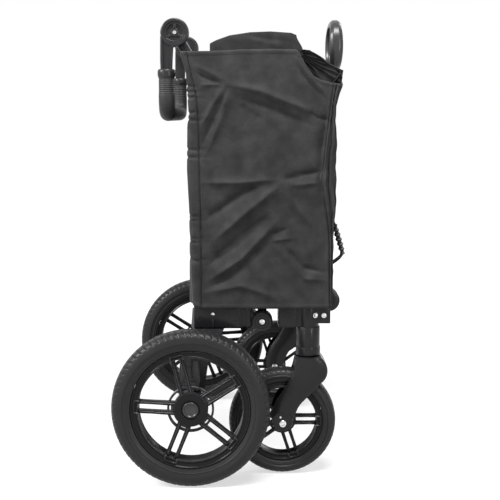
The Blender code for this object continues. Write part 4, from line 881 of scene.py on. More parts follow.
@dataclass
class Wheel(Assembly):
    """One wheel: a treaded tyre, a rim with pairs of bars, a slotted hub ring and its disc."""

    name: str
    side: Side
    body: str
    centre: tuple[float, float, float]
    radius: float
    width: float
    seat: float
    inner: float
    rim_width: float
    bar: float
    spacing: float
    disc: float
    ring: Point
    turn: float
    pitches: int
    lines: int
    cap: float = 0.0
    bar_in: float = 0.003
    bar_out: float = 0.013

    def tread(self, vert: bmesh.types.BMVert, half: float) -> None:
        """Sinks a vertex where the tread has a groove.

        Args:
            vert: The vertex.
            half: Half of the tyre's width.
        """
        middle = Vector(self.centre)
        away = Vector((vert.co.x - middle.x, 0, vert.co.z - middle.z))
        radius, across = away.length, vert.co.y - middle.y
        if radius < self.radius - 0.42 * half:
            return
        turn = math.atan2(away.z, away.x) / math.tau * self.pitches
        share = abs(across) / half
        slant = turn + (0.9 * share if across > 0 else 0.9 * share + 0.5)
        slot_at = abs((slant % 1.0) - 0.5)
        slots = (1 - smoothstep(0.06, 0.13, slot_at)) * smoothstep(0.34, 0.42, share)
        zigzag = 0.16 * (abs((turn % 1.0) - 0.5) * 4 - 1)
        centre_line = 1 - smoothstep(0.05, 0.11, abs(across / half - zigzag))
        fade = smoothstep(self.radius - 0.4 * half, self.radius - 0.26 * half, radius)
        depth = 0.0019 * max(slots, centre_line) * fade
        vert.co -= away.normalized() * depth
        vert.co.y -= math.copysign(depth * 0.6 * smoothstep(0.7, 1.0, share), across)

    def tyre(self) -> None:
        """Builds the tyre with its tread and the moulded lines on its walls."""
        half, seat = self.width / 2, self.seat
        top = self.radius
        wall = top - seat
        line = seat + 0.42 * wall
        outer = [(top, 0.0), (top - 0.0002, 0.2 * half), (top - 0.0006, 0.38 * half),
            (top - 0.0015, 0.54 * half), (top - 0.003, 0.68 * half), (top - 0.0053, 0.8 * half),
            (top - 0.0085, 0.89 * half), (top - 0.0125, 0.955 * half), (line + 0.0022, 0.992 * half),
            (line + 0.0006, 1.0 * half), (line - 0.0003, 0.992 * half), (line - 0.0007, 0.955 * half)]
        for k in range(self.lines):
            low = line - 0.002 - (line - seat - 0.004) * (k + 1) / (self.lines + 1)
            lean = 0.93 - 0.12 * (k + 1) / (self.lines + 1)
            outer += [(low + 0.0012, (lean + 0.01) * half), (low + 0.0005, (lean + 0.028) * half),
                (low - 0.0005, (lean + 0.026) * half), (low - 0.0012, lean * half)]
        outer += [(seat + 0.0022, 0.82 * half), (seat + 0.0006, 0.79 * half), (seat + 0.0002, 0.74 * half)]
        fine: list[Point] = []
        for (r0, y0), (r1, y1) in zip(outer, outer[1:]):
            cuts = 3 if r0 > top - 0.01 else 1
            fine += [(r0 + (r1 - r0) * k / cuts, y0 + (y1 - y0) * k / cuts) for k in range(cuts)]
        fine.append(outer[-1])
        profile = fine + [(r, -y) for r, y in reversed(fine[1:])]
        form = Form(f"{self.name}_tyre_worn")
        line = Vector((0, 1, 0))
        ring = [form.bm.verts.new(Vector(self.centre) + Vector((r, y, 0))) for r, y in profile]
        edges = [form.bm.edges.new(pair) for pair in zip(ring, ring[1:] + ring[:1])]
        bmesh.ops.spin(form.bm, geom=ring + edges, cent=self.centre, axis=line,
            angle=math.tau / self.pitches, steps=8, use_merge=False)
        for vert in form.bm.verts:
            self.tread(vert, half)
        form.repeat(form.bm.verts[:], self.centre, self.pitches)
        form.object(self.body, TYRE, 40, [self.name.replace("wheel", "tyre")])

    def bar_outline(self, offset: float, end: float) -> list[Point]:
        """Outline of one bar of a pair along +X, waisted towards its middle.

        Args:
            offset: How far the bar lies from the pair's own line.
            end: Radius where the bar ends.

        Returns:
            The outline.
        """
        half = self.bar / 2
        start = 0.55 * self.disc
        swell = [(start, 1.1), (self.ring[0], 1.05), (0.5 * (self.ring[1] + end), 0.92), (end - 0.008, 1.0),
            (end, 1.25)]
        upper = [(x, offset + half * k) for x, k in swell]
        lower = [(x, offset - half * k) for x, k in reversed(swell)]
        return upper + lower

    def rim(self) -> None:
        """Builds the rim's barrel, its bars, its hub ring and the hub."""
        form = Form(f"{self.name}_rim_spoked")
        half, seat, inner = self.rim_width / 2, self.seat - 0.0002, self.inner
        out = self.side.value
        lip = [(seat, 0.0), (seat, half - 0.0035), (seat - 0.0004, half - 0.0012),
            (seat - 0.0016, half - 0.0001), (seat - 0.003, half - 0.0004), (seat - 0.004, half - 0.0016),
            (inner + 0.0042, half - 0.0022), (inner + 0.003, half - 0.0012),
            (inner + 0.0014, half - 0.0005), (inner + 0.0003, half - 0.0011), (inner, half - 0.0026),
            (inner + 0.0006, 0.6 * half), (inner + 0.0026, 0.25 * half), (inner + 0.0034, 0.0)]
        profile = lip + [(r, -y) for r, y in reversed(lip[1:-1])]
        form.lathe(profile, self.centre, 144, closed=True)
        cy = self.centre[1]
        narrow, wide = self.spacing / 2, self.spacing / 2 + self.bar / 2
        for k in range(5):
            angle = math.radians(self.turn + 72 * k)
            angle = angle if self.side is Side.RIGHT else math.pi - angle
            made: Verts = []
            for offset in (-narrow, narrow):
                made += form.prism(self.bar_outline(offset, inner + 0.003), cy + out * self.bar_in,
                    cy + out * self.bar_out, 0.0018, 3)
                near, far = 0.13 * self.bar, 0.1 * self.bar
                spine = [(0.7 * self.disc, offset - near), (inner - 0.004, offset - far),
                    (inner - 0.004, offset + far), (0.7 * self.disc, offset + near)]
                made += form.prism(spine, cy + out * (self.bar_out - 0.001),
                    cy + out * (self.bar_out + 0.0008), 0.0006, 1)
            hoop = [(inner - 0.002, wide), *arc((inner + 0.0058, wide - 0.003), 0.003, 90, 0, 4),
                *arc((inner + 0.0058, -wide + 0.003), 0.003, 0, -90, 4), (inner - 0.002, -wide),
                (inner - 0.002, -wide + 0.003), *arc((inner + 0.005, -wide + 0.0042), 0.0012, -90, 0, 2),
                *arc((inner + 0.005, wide - 0.0042), 0.0012, 0, 90, 2), (inner - 0.002, wide - 0.003)]
            made += form.prism(hoop, cy + out * (half - 0.004), cy + out * (half + 0.0004), 0.0006, 1)
            end = min(self.ring[1] + 0.001, self.disc + 0.004)
            slot = [(end, narrow), (end, -narrow), (0.8 * self.disc, -narrow), (0.8 * self.disc, narrow)]
            made += form.prism(slot, cy + out * (self.bar_in + 0.002), cy + out * (self.bar_out - 0.002))
            form.turned(made, -angle, self.centre)
        r0, r1 = self.ring
        low, high = self.bar_in + 0.001, self.bar_out - 0.0012
        form.lathe([(r0, low), (r1, low), (r1, high - 0.0008), (r1 - 0.0008, high), (r0 + 0.0008, high),
            (r0, high - 0.0008)], self.centre, 72, out=out, closed=True)
        hub = self.disc
        face = self.bar_out + 0.004
        form.lathe([(0.0, -self.bar_out * 1.2), (0.45 * hub, -self.bar_out * 1.2), (0.45 * hub, 0.0),
            (0.93 * hub, 0.001), (hub, 0.003), (hub, face - 0.0035), (hub - 0.0012, face - 0.0012),
            (hub - 0.0035, face - 0.0002), (0.8 * hub, face), (0.56 * hub, face + 0.0003),
            (0.52 * hub, face - 0.0004), (0.5 * hub, face - 0.0016), (0.0, face - 0.0016)], self.centre, 72,
            out=out)
        form.object(self.body, WHEEL, 34, [self.name.replace("wheel", "rim")])

    def hub_cap(self) -> None:
        """Builds the dished cap in the middle of the hub."""
        form = Form(f"{self.name}_cap_dished")
        out = self.side.value
        r, base = self.cap, self.bar_out + 0.0026
        form.lathe([(0.0, base - 0.001), (r, base - 0.001), (r, base + 0.0026), (r - 0.0008, base + 0.0036),
            (r - 0.0022, base + 0.0034), (r - 0.0036, base + 0.0018), (0.5 * r, base + 0.001),
            (0.0, base + 0.0008)], self.centre, 64, out=out)
        form.object(self.body, GLOSS, 34, [self.name.replace("wheel", "hub_cap")])

    def build(self) -> None:
        """Builds the wheel's pieces."""
        self.tyre()
        self.rim()
        if self.cap:
            self.hub_cap()


@dataclass
class Caster(Assembly):
    """Fork with its domed arms, the axle bolt, and the sleeve that it turns in."""

    side: Side
    axis_x: float = 0.225
    wheel_x: float = 0.175
    y: float = 0.214
    axle_z: float = 0.10434
    crown_top: float = 0.2325
    half_width: float = 0.03
    slot_half: float = 0.0235
    well: float = 0.11
    boss: float = 0.0215
    boss_z: float = 0.10834

    def contours(self) -> tuple[list[Vector], list[Vector]]:
        """The arm's back and front contours, from the boss up to the crown.

        Returns:
            Both contours in the frame's X and Z, at Y 0.
        """
        x, z = from_axle(self.axis_x), self.crown_top
        bx, bz, r = from_axle(self.wheel_x), self.boss_z, self.boss
        lower_back = [(bx + r * math.cos(t), bz + r * math.sin(t)) for t in (math.radians(a)
            for a in (-90, -110, -130, -150, -168))]
        lower_front = [(bx + r * math.cos(t), bz + r * math.sin(t)) for t in (math.radians(a)
            for a in (-90, -68, -46, -26, -8))]
        back = lower_back + [(bx - r, bz + 0.004), (x - 0.07, bz + 0.019), (x - 0.064, bz + 0.039),
            (x - 0.053, z - 0.07), (x - 0.042, z - 0.054), (x - 0.032, z - 0.033), (x - 0.0262, z - 0.013),
            (x - 0.024, z)]
        front = lower_front + [(x - 0.0265, bz + 0.008), (x - 0.02, z - 0.096), (x + 0.002, z - 0.0742),
            (x + 0.02, z - 0.056), (x + 0.033, z - 0.041), (x + 0.0368, z - 0.029),
            (x + 0.0355, z - 0.0165), (x + 0.03, z - 0.0065), (x + 0.024, z)]
        return tuple(resampled(rounded([Vector((px, 0, pz)) for px, pz in line], 0.02, 4), 0.003)
            for line in (back, front))

    def arm(self, form: Form, inner: float, outer: float) -> None:
        """Lays one arm's domed face between the contours, and its flat face behind it.

        Args:
            form: The fork's form.
            inner: Y of the flat face.
            outer: Y of the dome's top.
        """
        back, front = self.contours()
        rows, columns = 56, 26

        def read(line: list[Vector], share: float) -> Vector:
            """Point at a share of a contour.

            Args:
                line: The contour.
                share: The share.

            Returns:
                The point.
            """
            place = share * (len(line) - 1)
            k = min(int(place), len(line) - 2)
            return line[k].lerp(line[k + 1], place - k)

        def domed(u: float, v: float) -> Vector:
            """Point of the domed face.

            Args:
                u: Share from back to front.
                v: Share from boss to crown.

            Returns:
                The point.
            """
            a, b = read(back, v), read(front, v)
            rise = max(0.0, 1 - abs(2 * u - 1) ** 1.7) ** 0.72
            foot = smoothstep(0.0, 0.05, v) ** 0.5
            point = a.lerp(b, u)
            point.y = inner + (outer - inner) * rise * foot
            return point

        face = form.sheet(columns, rows, domed)
        behind = Vector((0, inner, 0))
        flat = form.sheet(columns, 28, lambda u, v: read(back, v).lerp(read(front, v), u) + behind)
        bmesh.ops.remove_doubles(form.bm, verts=face + flat, dist=1e-5)

    def fork(self) -> None:
        """Builds the fork: two arms, and the crown that joins them over the wheel."""
        form = Form(f"caster_fork_{self.side.word}_domed")
        out = self.side.value
        y = out * self.y
        self.arm(form, y + out * self.slot_half, y + out * self.half_width)
        self.arm(form, y - out * self.slot_half, y - out * self.half_width)
        back, front = self.contours()
        axle = Vector((from_axle(self.wheel_x), 0, self.axle_z))
        rim = [p for p in back if (p - axle).length > self.well and p.z > axle.z] \
            + [p for p in reversed(front) if (p - axle).length > self.well and p.z > axle.z]
        start = math.atan2(rim[-1].z - axle.z, rim[-1].x - axle.x)
        end = math.atan2(rim[0].z - axle.z, rim[0].x - axle.x)
        under = [(axle.x + self.well * math.cos(start + (end - start) * k / 16),
            axle.z + self.well * math.sin(start + (end - start) * k / 16)) for k in range(17)]
        form.prism([(p.x, p.z) for p in rim] + under, y - self.slot_half - 0.002, y + self.slot_half + 0.002)
        top, x = self.crown_top, from_axle(self.axis_x)
        form.lathe([(0, top - 0.006), (0.0235, top - 0.006), (0.0236, top - 0.001), (0.023, top), (0, top)],
            (x, y, 0), 48, "Z")
        form.lathe([(0, top), (0.008, top), (0.008, top + 0.044), (0, top + 0.044)], (x, y, 0), 24, "Z")
        boss = (from_axle(self.wheel_x), y + out * (self.half_width - 0.0004), self.boss_z)
        form.lathe(metres((0, 0.6), (17.8, 0.6), (19.2, 0.2), (19.8, -1.6)), boss, 56, out=out)
        form.object(f"caster_{self.side.word}", SATIN, 38, [f"caster_fork_{self.side.word}"])

    def bolts(self) -> None:
        """Builds the axle bolt's two heads and the small screw above it."""
        form = Form(f"front_axle_{self.side.word}_bolt")
        out, x, z = self.side.value, from_axle(self.wheel_x), self.axle_z
        y = out * self.y
        reach = self.half_width + 0.0004
        form.bolt((x, y + out * reach, z), 0.007, out, 0.0034)
        form.bolt((x, y - out * self.half_width, z), 0.007, -out, 0.0034)
        form.lathe([(0.005, -reach), (0.005, reach)], (x, y, z), 20, out=out)
        form.bolt((x - 0.0045, y + out * reach, z + 0.0125), 0.0021, out, 0.001)
        form.object(f"caster_{self.side.word}", STEEL, 30, [f"front_axle_{self.side.word}"])

    def sleeve(self) -> None:
        """Builds the upright barrel with its steps and seams."""
        form = Form(f"caster_sleeve_{self.side.word}_turned")
        x, y = from_axle(self.axis_x), self.side.value * self.y
        form.lathe(metres((0, 332), (19, 332), (20.2, 331.5), (20.5, 330.3), (20.5, 292.5), (20.3, 291.7),
            (20.3, 290.7), (22.2, 289.8), (22.8, 288.6), (22.8, 253.4), (22.6, 252.6), (22.4, 252),
            (22.4, 251.3), (23.5, 250.7), (23.8, 249.8), (23.8, 236.2), (23.4, 234.8), (22.6, 234),
            (0, 234)), (x, y, 0), 72, "Z")
        form.object("front_frame", SATIN, 30, [f"caster_sleeve_{self.side.word}"])
        form = Form(f"bracket_bolts_{self.side.word}")
        out = self.side.value
        form.bolt((from_axle(0.2374), out * 0.2295, 0.3135), 0.0052, out, 0.0034)
        form.bolt((from_axle(0.254), out * 0.23, 0.3135), 0.0052, out, 0.003)
        form.object("front_frame", STEEL, 30)

    def build(self) -> None:
        """Builds the fork, its bolts and its sleeve."""
        self.fork()
        self.bolts()
        self.sleeve()


@dataclass
class Brackets(Assembly):
    """The moulded brackets of one side, over the wheels, with their screws and recesses."""

    side: Side
    outer: float = 0.234
    inner: float = 0.18

    def rear(self) -> None:
        """Builds the rear housing with the serrated hub of the floor rail's pivot."""
        word, out, outer = self.side.word, self.side.value, self.outer
        form = Form(f"rear_bracket_{word}_housing")
        form.prism(side_on((4, 332), (4, 288.5), (94, 288.5), (98.5, 292.5), (112.5, 292.5), (112.5, 332)),
            out * self.inner, out * (outer - 0.002), 0.0015, 3)
        form.prism(oblong(6.5, 92, 291, 330.2), out * (outer - 0.004), out * (outer - 0.0004), 0.0008, 2)
        for x in (96.5, 104):
            form.prism(oblong(x, x + 3, 293.5, 331), out * (outer - 0.003), out * outer, 0.0008, 2)
        hub = (from_axle(0.135), out * outer, 0.302)
        teeth, gear = 30, []
        for k in range(teeth):
            for part, r in ((0.0, 0.019), (0.18, 0.0205), (0.55, 0.0205), (0.73, 0.019)):
                turn = math.tau * (k + part) / teeth
                gear.append((hub[0] + r * math.cos(turn), hub[2] + r * math.sin(turn)))
        form.prism(gear, out * (outer - 0.026), out * (outer - 0.0035), 0.0007, 1)
        form.lathe(metres((0, -5), (18.2, -5), (18.2, -1.2), (17.4, -0.2), (15, 0), (14.6, -1),
            (12.5, -1.2), (12, -0.4), (8.5, -0.4), (8, -1.6), (0, -1.6)), hub, 64, out=out)
        for x in (0.0145, 0.0855):
            place = (from_axle(x), out * (outer - 0.0006), 0.308)
            form.lathe(metres((5, -2), (5, 0.4), (4.4, 0.8), (3.6, 0.6), (3.3, -1.6), (0, -1.6)), place, 28,
                out=out)
            for turn in (20, 110):
                cross = metres((-3, 0.6), (-3, -0.6), (3, -0.6), (3, 0.6))
                form.turned(form.prism(cross, out * (outer - 0.0024), out * (outer - 0.0006)),
                    math.radians(turn), place)
        form.prism(oblong(39, 42.2, 289.2, 312), out * (outer - 0.002), out * (outer + 0.001), 0.001, 2)
        form.object("rear_frame", SATIN, 32, [f"rear_bracket_{word}"])
        form = Form(f"rear_bracket_screw_{word}")
        form.bolt((from_axle(0.0406), out * outer, 0.3172), 0.0036, out, 0.0022)
        form.bolt((hub[0], out * (outer - 0.0016), hub[2]), 0.0056, out, 0.004)
        form.lathe([(0.0038, -0.049), (0.0038, 0.0)], hub, 20, out=out)
        form.object("rear_frame", STEEL, 30, [f"rail_bolt_{word}"])

    def front(self) -> None:
        """Builds the front bracket, stepped under its nose, with ribs beside the sleeve."""
        word, out = self.side.word, self.side.value
        form = Form(f"front_bracket_{word}_plate")
        form.prism(side_on((166.5, 331.5), (166.5, 290), (228, 290), (235, 297), (267, 297), (267, 331.5)),
            out * self.inner, out * 0.229, 0.002, 3)
        for outline in (oblong(169, 201, 292.5, 329), oblong(248, 264, 299.5, 329.5)):
            form.prism(outline, out * 0.227, out * 0.2303, 0.0008, 2)
        form.lathe(metres((5.8, -2), (5.8, 0.4), (5.1, 0.8), (4.3, 0.6), (4, -1), (0, -1)),
            (from_axle(0.1855), out * 0.2301, 0.3125), 28, out=out)
        form.lathe(metres((4, -30), (4, 20.5), (0, 20.5)), (from_axle(0.181), out * 0.18, 0.302), 16,
            out=-out)
        form.object("front_frame", SATIN, 32, [f"front_bracket_{word}"])

    def brake(self) -> None:
        """Builds the grey brake unit on the leg: a body with two lugs and a slot between them."""
        word, out = self.side.word, self.side.value
        form = Form(f"brake_unit_{word}_body")
        form.prism(side_on((-22, 234), (-25, 192), (-18, 176), (10, 173), (15.5, 189), (13.5, 234)),
            out * 0.2343, out * 0.25, 0.002, 3)
        for outline in (oblong(-20, -12.5, 196, 230), oblong(1.5, 12, 198, 232), oblong(-16, 8, 180, 190)):
            form.prism(outline, out * 0.249, out * 0.256, 0.0016, 2)
        form.bolt((from_axle(-0.005), out * 0.25, 0.216), 0.004, out, 0.002)
        form.object("rear_frame", GREY, 32, [f"brake_unit_{word}"])

    def build(self) -> None:
        """Builds the brackets and the brake unit."""
        self.rear()
        self.front()
        self.brake()


@dataclass
class PushHandle(Assembly):
    """The hanging handle: round hubs, recessed arms, collars, and a bent bar with ribbed grips."""

    hub_x: float = -0.03
    hub_z: float = 0.852
    y: float = 0.2138
    bar_x: float = -0.046
    bar_z: float = 0.701
    bar_radius: float = 0.0152
    bend: float = 0.036
    collar_foot: float = 0.768
    rib_pitch: float = 0.0039
    ribbed: float = 0.036

    def arm(self, side: Side) -> None:
        """Builds one arm with its hub and collar.

        Args:
            side: The side that it is on.
        """
        form = Form(f"handle_arm_{side.word}_hub")
        out = side.value
        hub = (from_axle(self.hub_x), out * self.y, self.hub_z)
        form.lathe(metres((0, -8), (26.2, -8), (27, -7.2), (27, 5.2), (26.4, 6.8), (25, 7.8), (23.2, 8),
            (20.5, 7.4), (19.6, 6), (16.5, 5.6), (15.2, 4.4), (14.6, 2.2), (8.5, 1.8), (7.8, 3.4),
            (6.2, 4.2), (0, 4.2)), hub, 72, out=out)
        for k in range(3):
            wedge = metres((8, 2.2), (8, -2.2), (19, -3), (19, 3))
            form.turned(form.prism(wedge, out * (self.y + 0.001), out * (self.y + 0.0052), 0.0008, 2),
                math.radians(30 + 120 * k), hub)
        x = from_axle(self.bar_x)
        neck = form.prism([(x - 0.0112, 0.845), (x - 0.0116, 0.8), (x - 0.0108, 0.779), (x + 0.0108, 0.779),
            (x + 0.0116, 0.8), (x + 0.0128, 0.822), (x + 0.017, 0.836)], out * (self.y - 0.008),
            out * (self.y + 0.0074), 0.0026, 4)
        faces = {f for v in neck for f in v.link_faces if abs(f.normal.y) > 0.99}
        cap = max(faces, key=lambda f: f.calc_center_median().y * out * 10 + f.calc_area())
        bmesh.ops.inset_region(form.bm, faces=[cap], thickness=0.003, depth=0.0)
        bmesh.ops.inset_region(form.bm, faces=[cap], thickness=0.0012, depth=-0.0024)
        form.lathe(metres((0, 783.5), (14.6, 783.5), (16, 782.2), (16.8, 780.2), (17, 776.2), (16.8, 771),
            (16.2, 768.8), (15.4, 768), (0, 768)), (x, out * self.y, 0), 56, "Z")
        form.lathe([(0.004, -0.036), (0.004, 0.0)], hub, 20, out=out)
        form.object("push_handle", HANDLE, 32, [f"handle_arm_{side.word}"])
        form = Form(f"handle_bolt_{side.word}")
        form.bolt((hub[0], out * (self.y + 0.004), hub[2]), 0.0036, out, 0.0022)
        form.object("push_handle", STEEL, 30)

    def bar(self) -> None:
        """Builds the bar, with ribs round the upper end of each grip."""
        form = Form("handle_bar_ribbed")
        x, top = from_axle(self.bar_x), self.collar_foot - 0.0003
        bends = [Vector((x, y, z)) for y, z in ((-self.y, top), (-self.y, self.bar_z), (self.y, self.bar_z),
            (self.y, top))]
        plain = resampled(rounded(bends, self.bend * 1.15, 14), 0.005)
        length = sum((b - a).length for a, b in zip(plain, plain[1:]))
        step = self.rib_pitch / 6
        ends = [[Vector((x, y, top - k * step)) for k in range(round(self.ribbed / step))]
            for y in (-self.y, self.y)]
        middle = [p for p in plain if p.z < top - self.ribbed - 0.001 or abs(p.y) < self.y - 0.001]
        path = ends[0] + middle + ends[1][::-1]

        def radius(share: float) -> float:
            """The bar's radius, with ribs near both of its ends.

            Args:
                share: Share of the bar.

            Returns:
                The radius.
            """
            end = min(share, 1 - share) * length
            if end > self.ribbed:
                return self.bar_radius
            rib = 0.5 - 0.5 * math.cos(math.tau * end / self.rib_pitch)
            fade = 1 - smoothstep(self.ribbed - 0.012, self.ribbed, end)
            return self.bar_radius - 0.0008 * fade * (1 - rib) * smoothstep(0.0, 0.003, end)

        form.sweep(path, radius, 32, up=(1, 0, 0))
        form.object("push_handle", GRIP, 40, ["handle_bar"])

    def build(self) -> None:
        """Builds both arms and the bar."""
        for side in Side:
            self.arm(side)
        self.bar()


@dataclass
class PullGrip(Assembly):
    """The loop grip of the pull bar: fuller at its sides, with two long ridges outside."""

    x: float = 0.2914
    stem_x: float = 0.283
    low: float = 0.796
    high: float = 0.888
    half_width: float = 0.052
    bar: float = 0.016
    depth: float = 0.028

    def build(self) -> None:
        """Builds the loop and its socket."""
        form = Form("pull_grip_ridged")
        x, middle, rise = from_axle(self.x), (self.low + self.high) / 2, (self.high - self.low) / 2
        path = []
        for k in range(96):
            a = math.tau * k / 96
            c, s = math.cos(a), math.sin(a)
            path.append(Vector((x, self.half_width * math.copysign(abs(c) ** 0.78, c),
                middle + rise * math.copysign(abs(s) ** 0.78, s))))

        def section(angle: float) -> float:
            """A squared round with grooves beside the ridges.

            Args:
                angle: Angle round the section.

            Returns:
                Share of the radius.
            """
            inner = abs(math.atan2(math.sin(angle), math.cos(angle)))
            outer = math.pi - inner
            grooves = sum(depth * math.exp(-((side - place) / wide) ** 2) for side in (inner, outer)
                for place, wide, depth in ((0.0, 0.2, 0.035), (0.78, 0.13, 0.055)))
            return superellipse(angle, 2.5) * (1 - grooves)

        for v in form.sweep(path, self.bar / 2, 48, section, closed=True, flat=self.depth / self.bar,
                up=(1, 0, 0)):
            height = (v.co.z - middle) / (rise + self.bar / 2)
            v.co.x = x + (v.co.x - x) * (0.66 + 0.34 * math.cos(min(1.0, abs(height)) * math.pi / 2) ** 0.7)
        stem = from_axle(self.stem_x)
        form.lathe(metres((0, 801), (9.2, 800), (10.8, 796), (11, 780), (10.4, 777.6), (8.3, 777.5),
            (0, 777.5)), (stem, 0, 0), 40, "Z")
        form.object("pull_slider", GLOSS, 40, ["pull_grip"])


@dataclass
class Tubes(Assembly):
    """The frame's tubes in powder coat, and the pull bar's tubes."""

    post_y: float = 0.195
    post_radius: float = 0.0105

    def build(self) -> None:
        """Builds the posts with their cheeks, the cross tubes and the pull bar."""
        for side in Side:
            y = side.value * self.post_y
            hub = Vector((from_axle(-0.03), y, 0.852))
            path = rounded([Vector((from_axle(0.022), y, 0.3045)), Vector((from_axle(0.022), y, 0.765)),
                hub], 0.06, 10)
            form = Form(f"rear_post_{side.word}_cranked")
            form.sweep(path, self.post_radius, 32)
            form.lathe(metres((0, 10.4), (24.5, 10.4), (25.8, 9.2), (26, 7), (26, -7), (24.5, -8), (20, -8),
                (19, -7), (0, -7)), hub, 56, out=side.value)
            form.object("rear_frame", TUBE, 34, [f"rear_post_{side.word}"])
            form = Form(f"front_post_{side.word}_drawn")
            x = from_axle(0.252)
            form.lathe(metres((9, 304), (10.5, 304), (10.5, 774.2), (10.1, 775), (9, 775), (9, 770)),
                (x, y, 0), 40, "Z")
            form.object("front_frame", TUBE, 34, [f"front_post_{side.word}"])
        for name, body, x, z, r, half in (("rear_lower_tube", "rear_frame", 0.06, 0.31, 0.01, 0.1797),
                ("rear_upper_tube", "rear_frame", 0.022, 0.745, 0.009, 0.1842), ("front_lower_tube",
                "front_frame", 0.232, 0.31, 0.01, 0.1797), ("front_upper_tube", "front_frame", 0.252, 0.745,
                0.009, 0.1842)):
            form = Form(f"{name}_drawn")
            form.lathe([(r - 0.0015, -half), (r, -half), (r, half), (r - 0.0015, half)],
                (from_axle(x), 0, z), 36, closed=True)
            form.object(body, TUBE, 34, [name])
        x = from_axle(0.283)
        form = Form("pull_tube_outer_drawn")
        form.lathe(metres((0, 349), (8.6, 350), (8.6, 620), (11.4, 620), (11.7, 619.2), (11.7, 593),
            (10.6, 591.2), (10.5, 590), (10.5, 316), (0, 316)), (x, 0, 0), 40, "Z")
        form.lathe(metres((4.3, -12), (15, -12), (16, -11), (16, 11), (15, 12), (4.3, 12)), (x, 0, 0.302),
            48, closed=True)
        form.object("pull_bar", TUBE, 34, ["pull_tube_outer"])
        form = Form("pull_tube_inner_drawn")
        form.lathe(metres((6.8, 351), (8.3, 351), (8.3, 777.2), (6.8, 777.2)), (x, 0, 0), 40, "Z",
            closed=True)
        form.object("pull_slider", STEEL, 34, ["pull_tube_inner"])
        form = Form("pull_bracket_ears")
        for out in (-1, 1):
            form.lathe(metres((0, 20), (7.5, 20), (8, 19.2), (11, 19), (11.8, 19.8), (22, 19.8), (23.2, 19),
                (23.5, 17.8), (23.5, 14), (22.8, 12.7), (0, 12.7)), (x, 0, 0.302), 64, out=out)
        form.block((from_axle(0.2424), -0.02, 0.2862), (from_axle(0.2665), 0.02, 0.3178), 0.002, 3)
        form.object("front_frame", SATIN, 34, ["pull_bracket"])


class Fold:
    """A soft fold along a line seen from the side. Its sizes are given in millimetres."""

    def __init__(self, height: float, width: float, *points: Point) -> None:
        """Takes the fold's sizes and finds its reach.

        Args:
            height: Height of the fold, below 0 for a hollow.
            width: Its width, halved.
            points: Its line, X and Z.
        """
        self.height = height / 1000
        self.width = width / 1000
        self.points = [(x / 1000, z / 1000) for x, z in points]
        reach = 2.4 * self.width
        self.low = (min(x for x, _ in self.points) - reach, min(z for _, z in self.points) - reach)
        self.high = (max(x for x, _ in self.points) + reach, max(z for _, z in self.points) + reach)
        self.length = sum(math.dist(a, b) for a, b in zip(self.points, self.points[1:]))

    def rise(self, x: float, z: float) -> float:
        """Height that the fold adds at a place.

        Args:
            x: Place along the wagon.
            z: Place above the floor.

        Returns:
            The height in metres.
        """
        if not (self.low[0] < x < self.high[0] and self.low[1] < z < self.high[1]):
            return 0.0
        near, share, done = 1e9, 0.0, 0.0
        for (ax, az), (bx, bz) in zip(self.points, self.points[1:]):
            dx, dz = bx - ax, bz - az
            size = math.hypot(dx, dz)
            t = min(1.0, max(0.0, ((x - ax) * dx + (z - az) * dz) / (size * size)))
            away = math.hypot(x - ax - t * dx, z - az - t * dz)
            if away < near:
                near, share = away, (done + t * size) / self.length
            done += size
        ends = (0.25 + 0.75 * smoothstep(0.0, 0.25, share)) * (0.25 + 0.75 * smoothstep(1.0, 0.75, share))
        return self.height * ends * math.exp(-((near / self.width) ** 1.35))


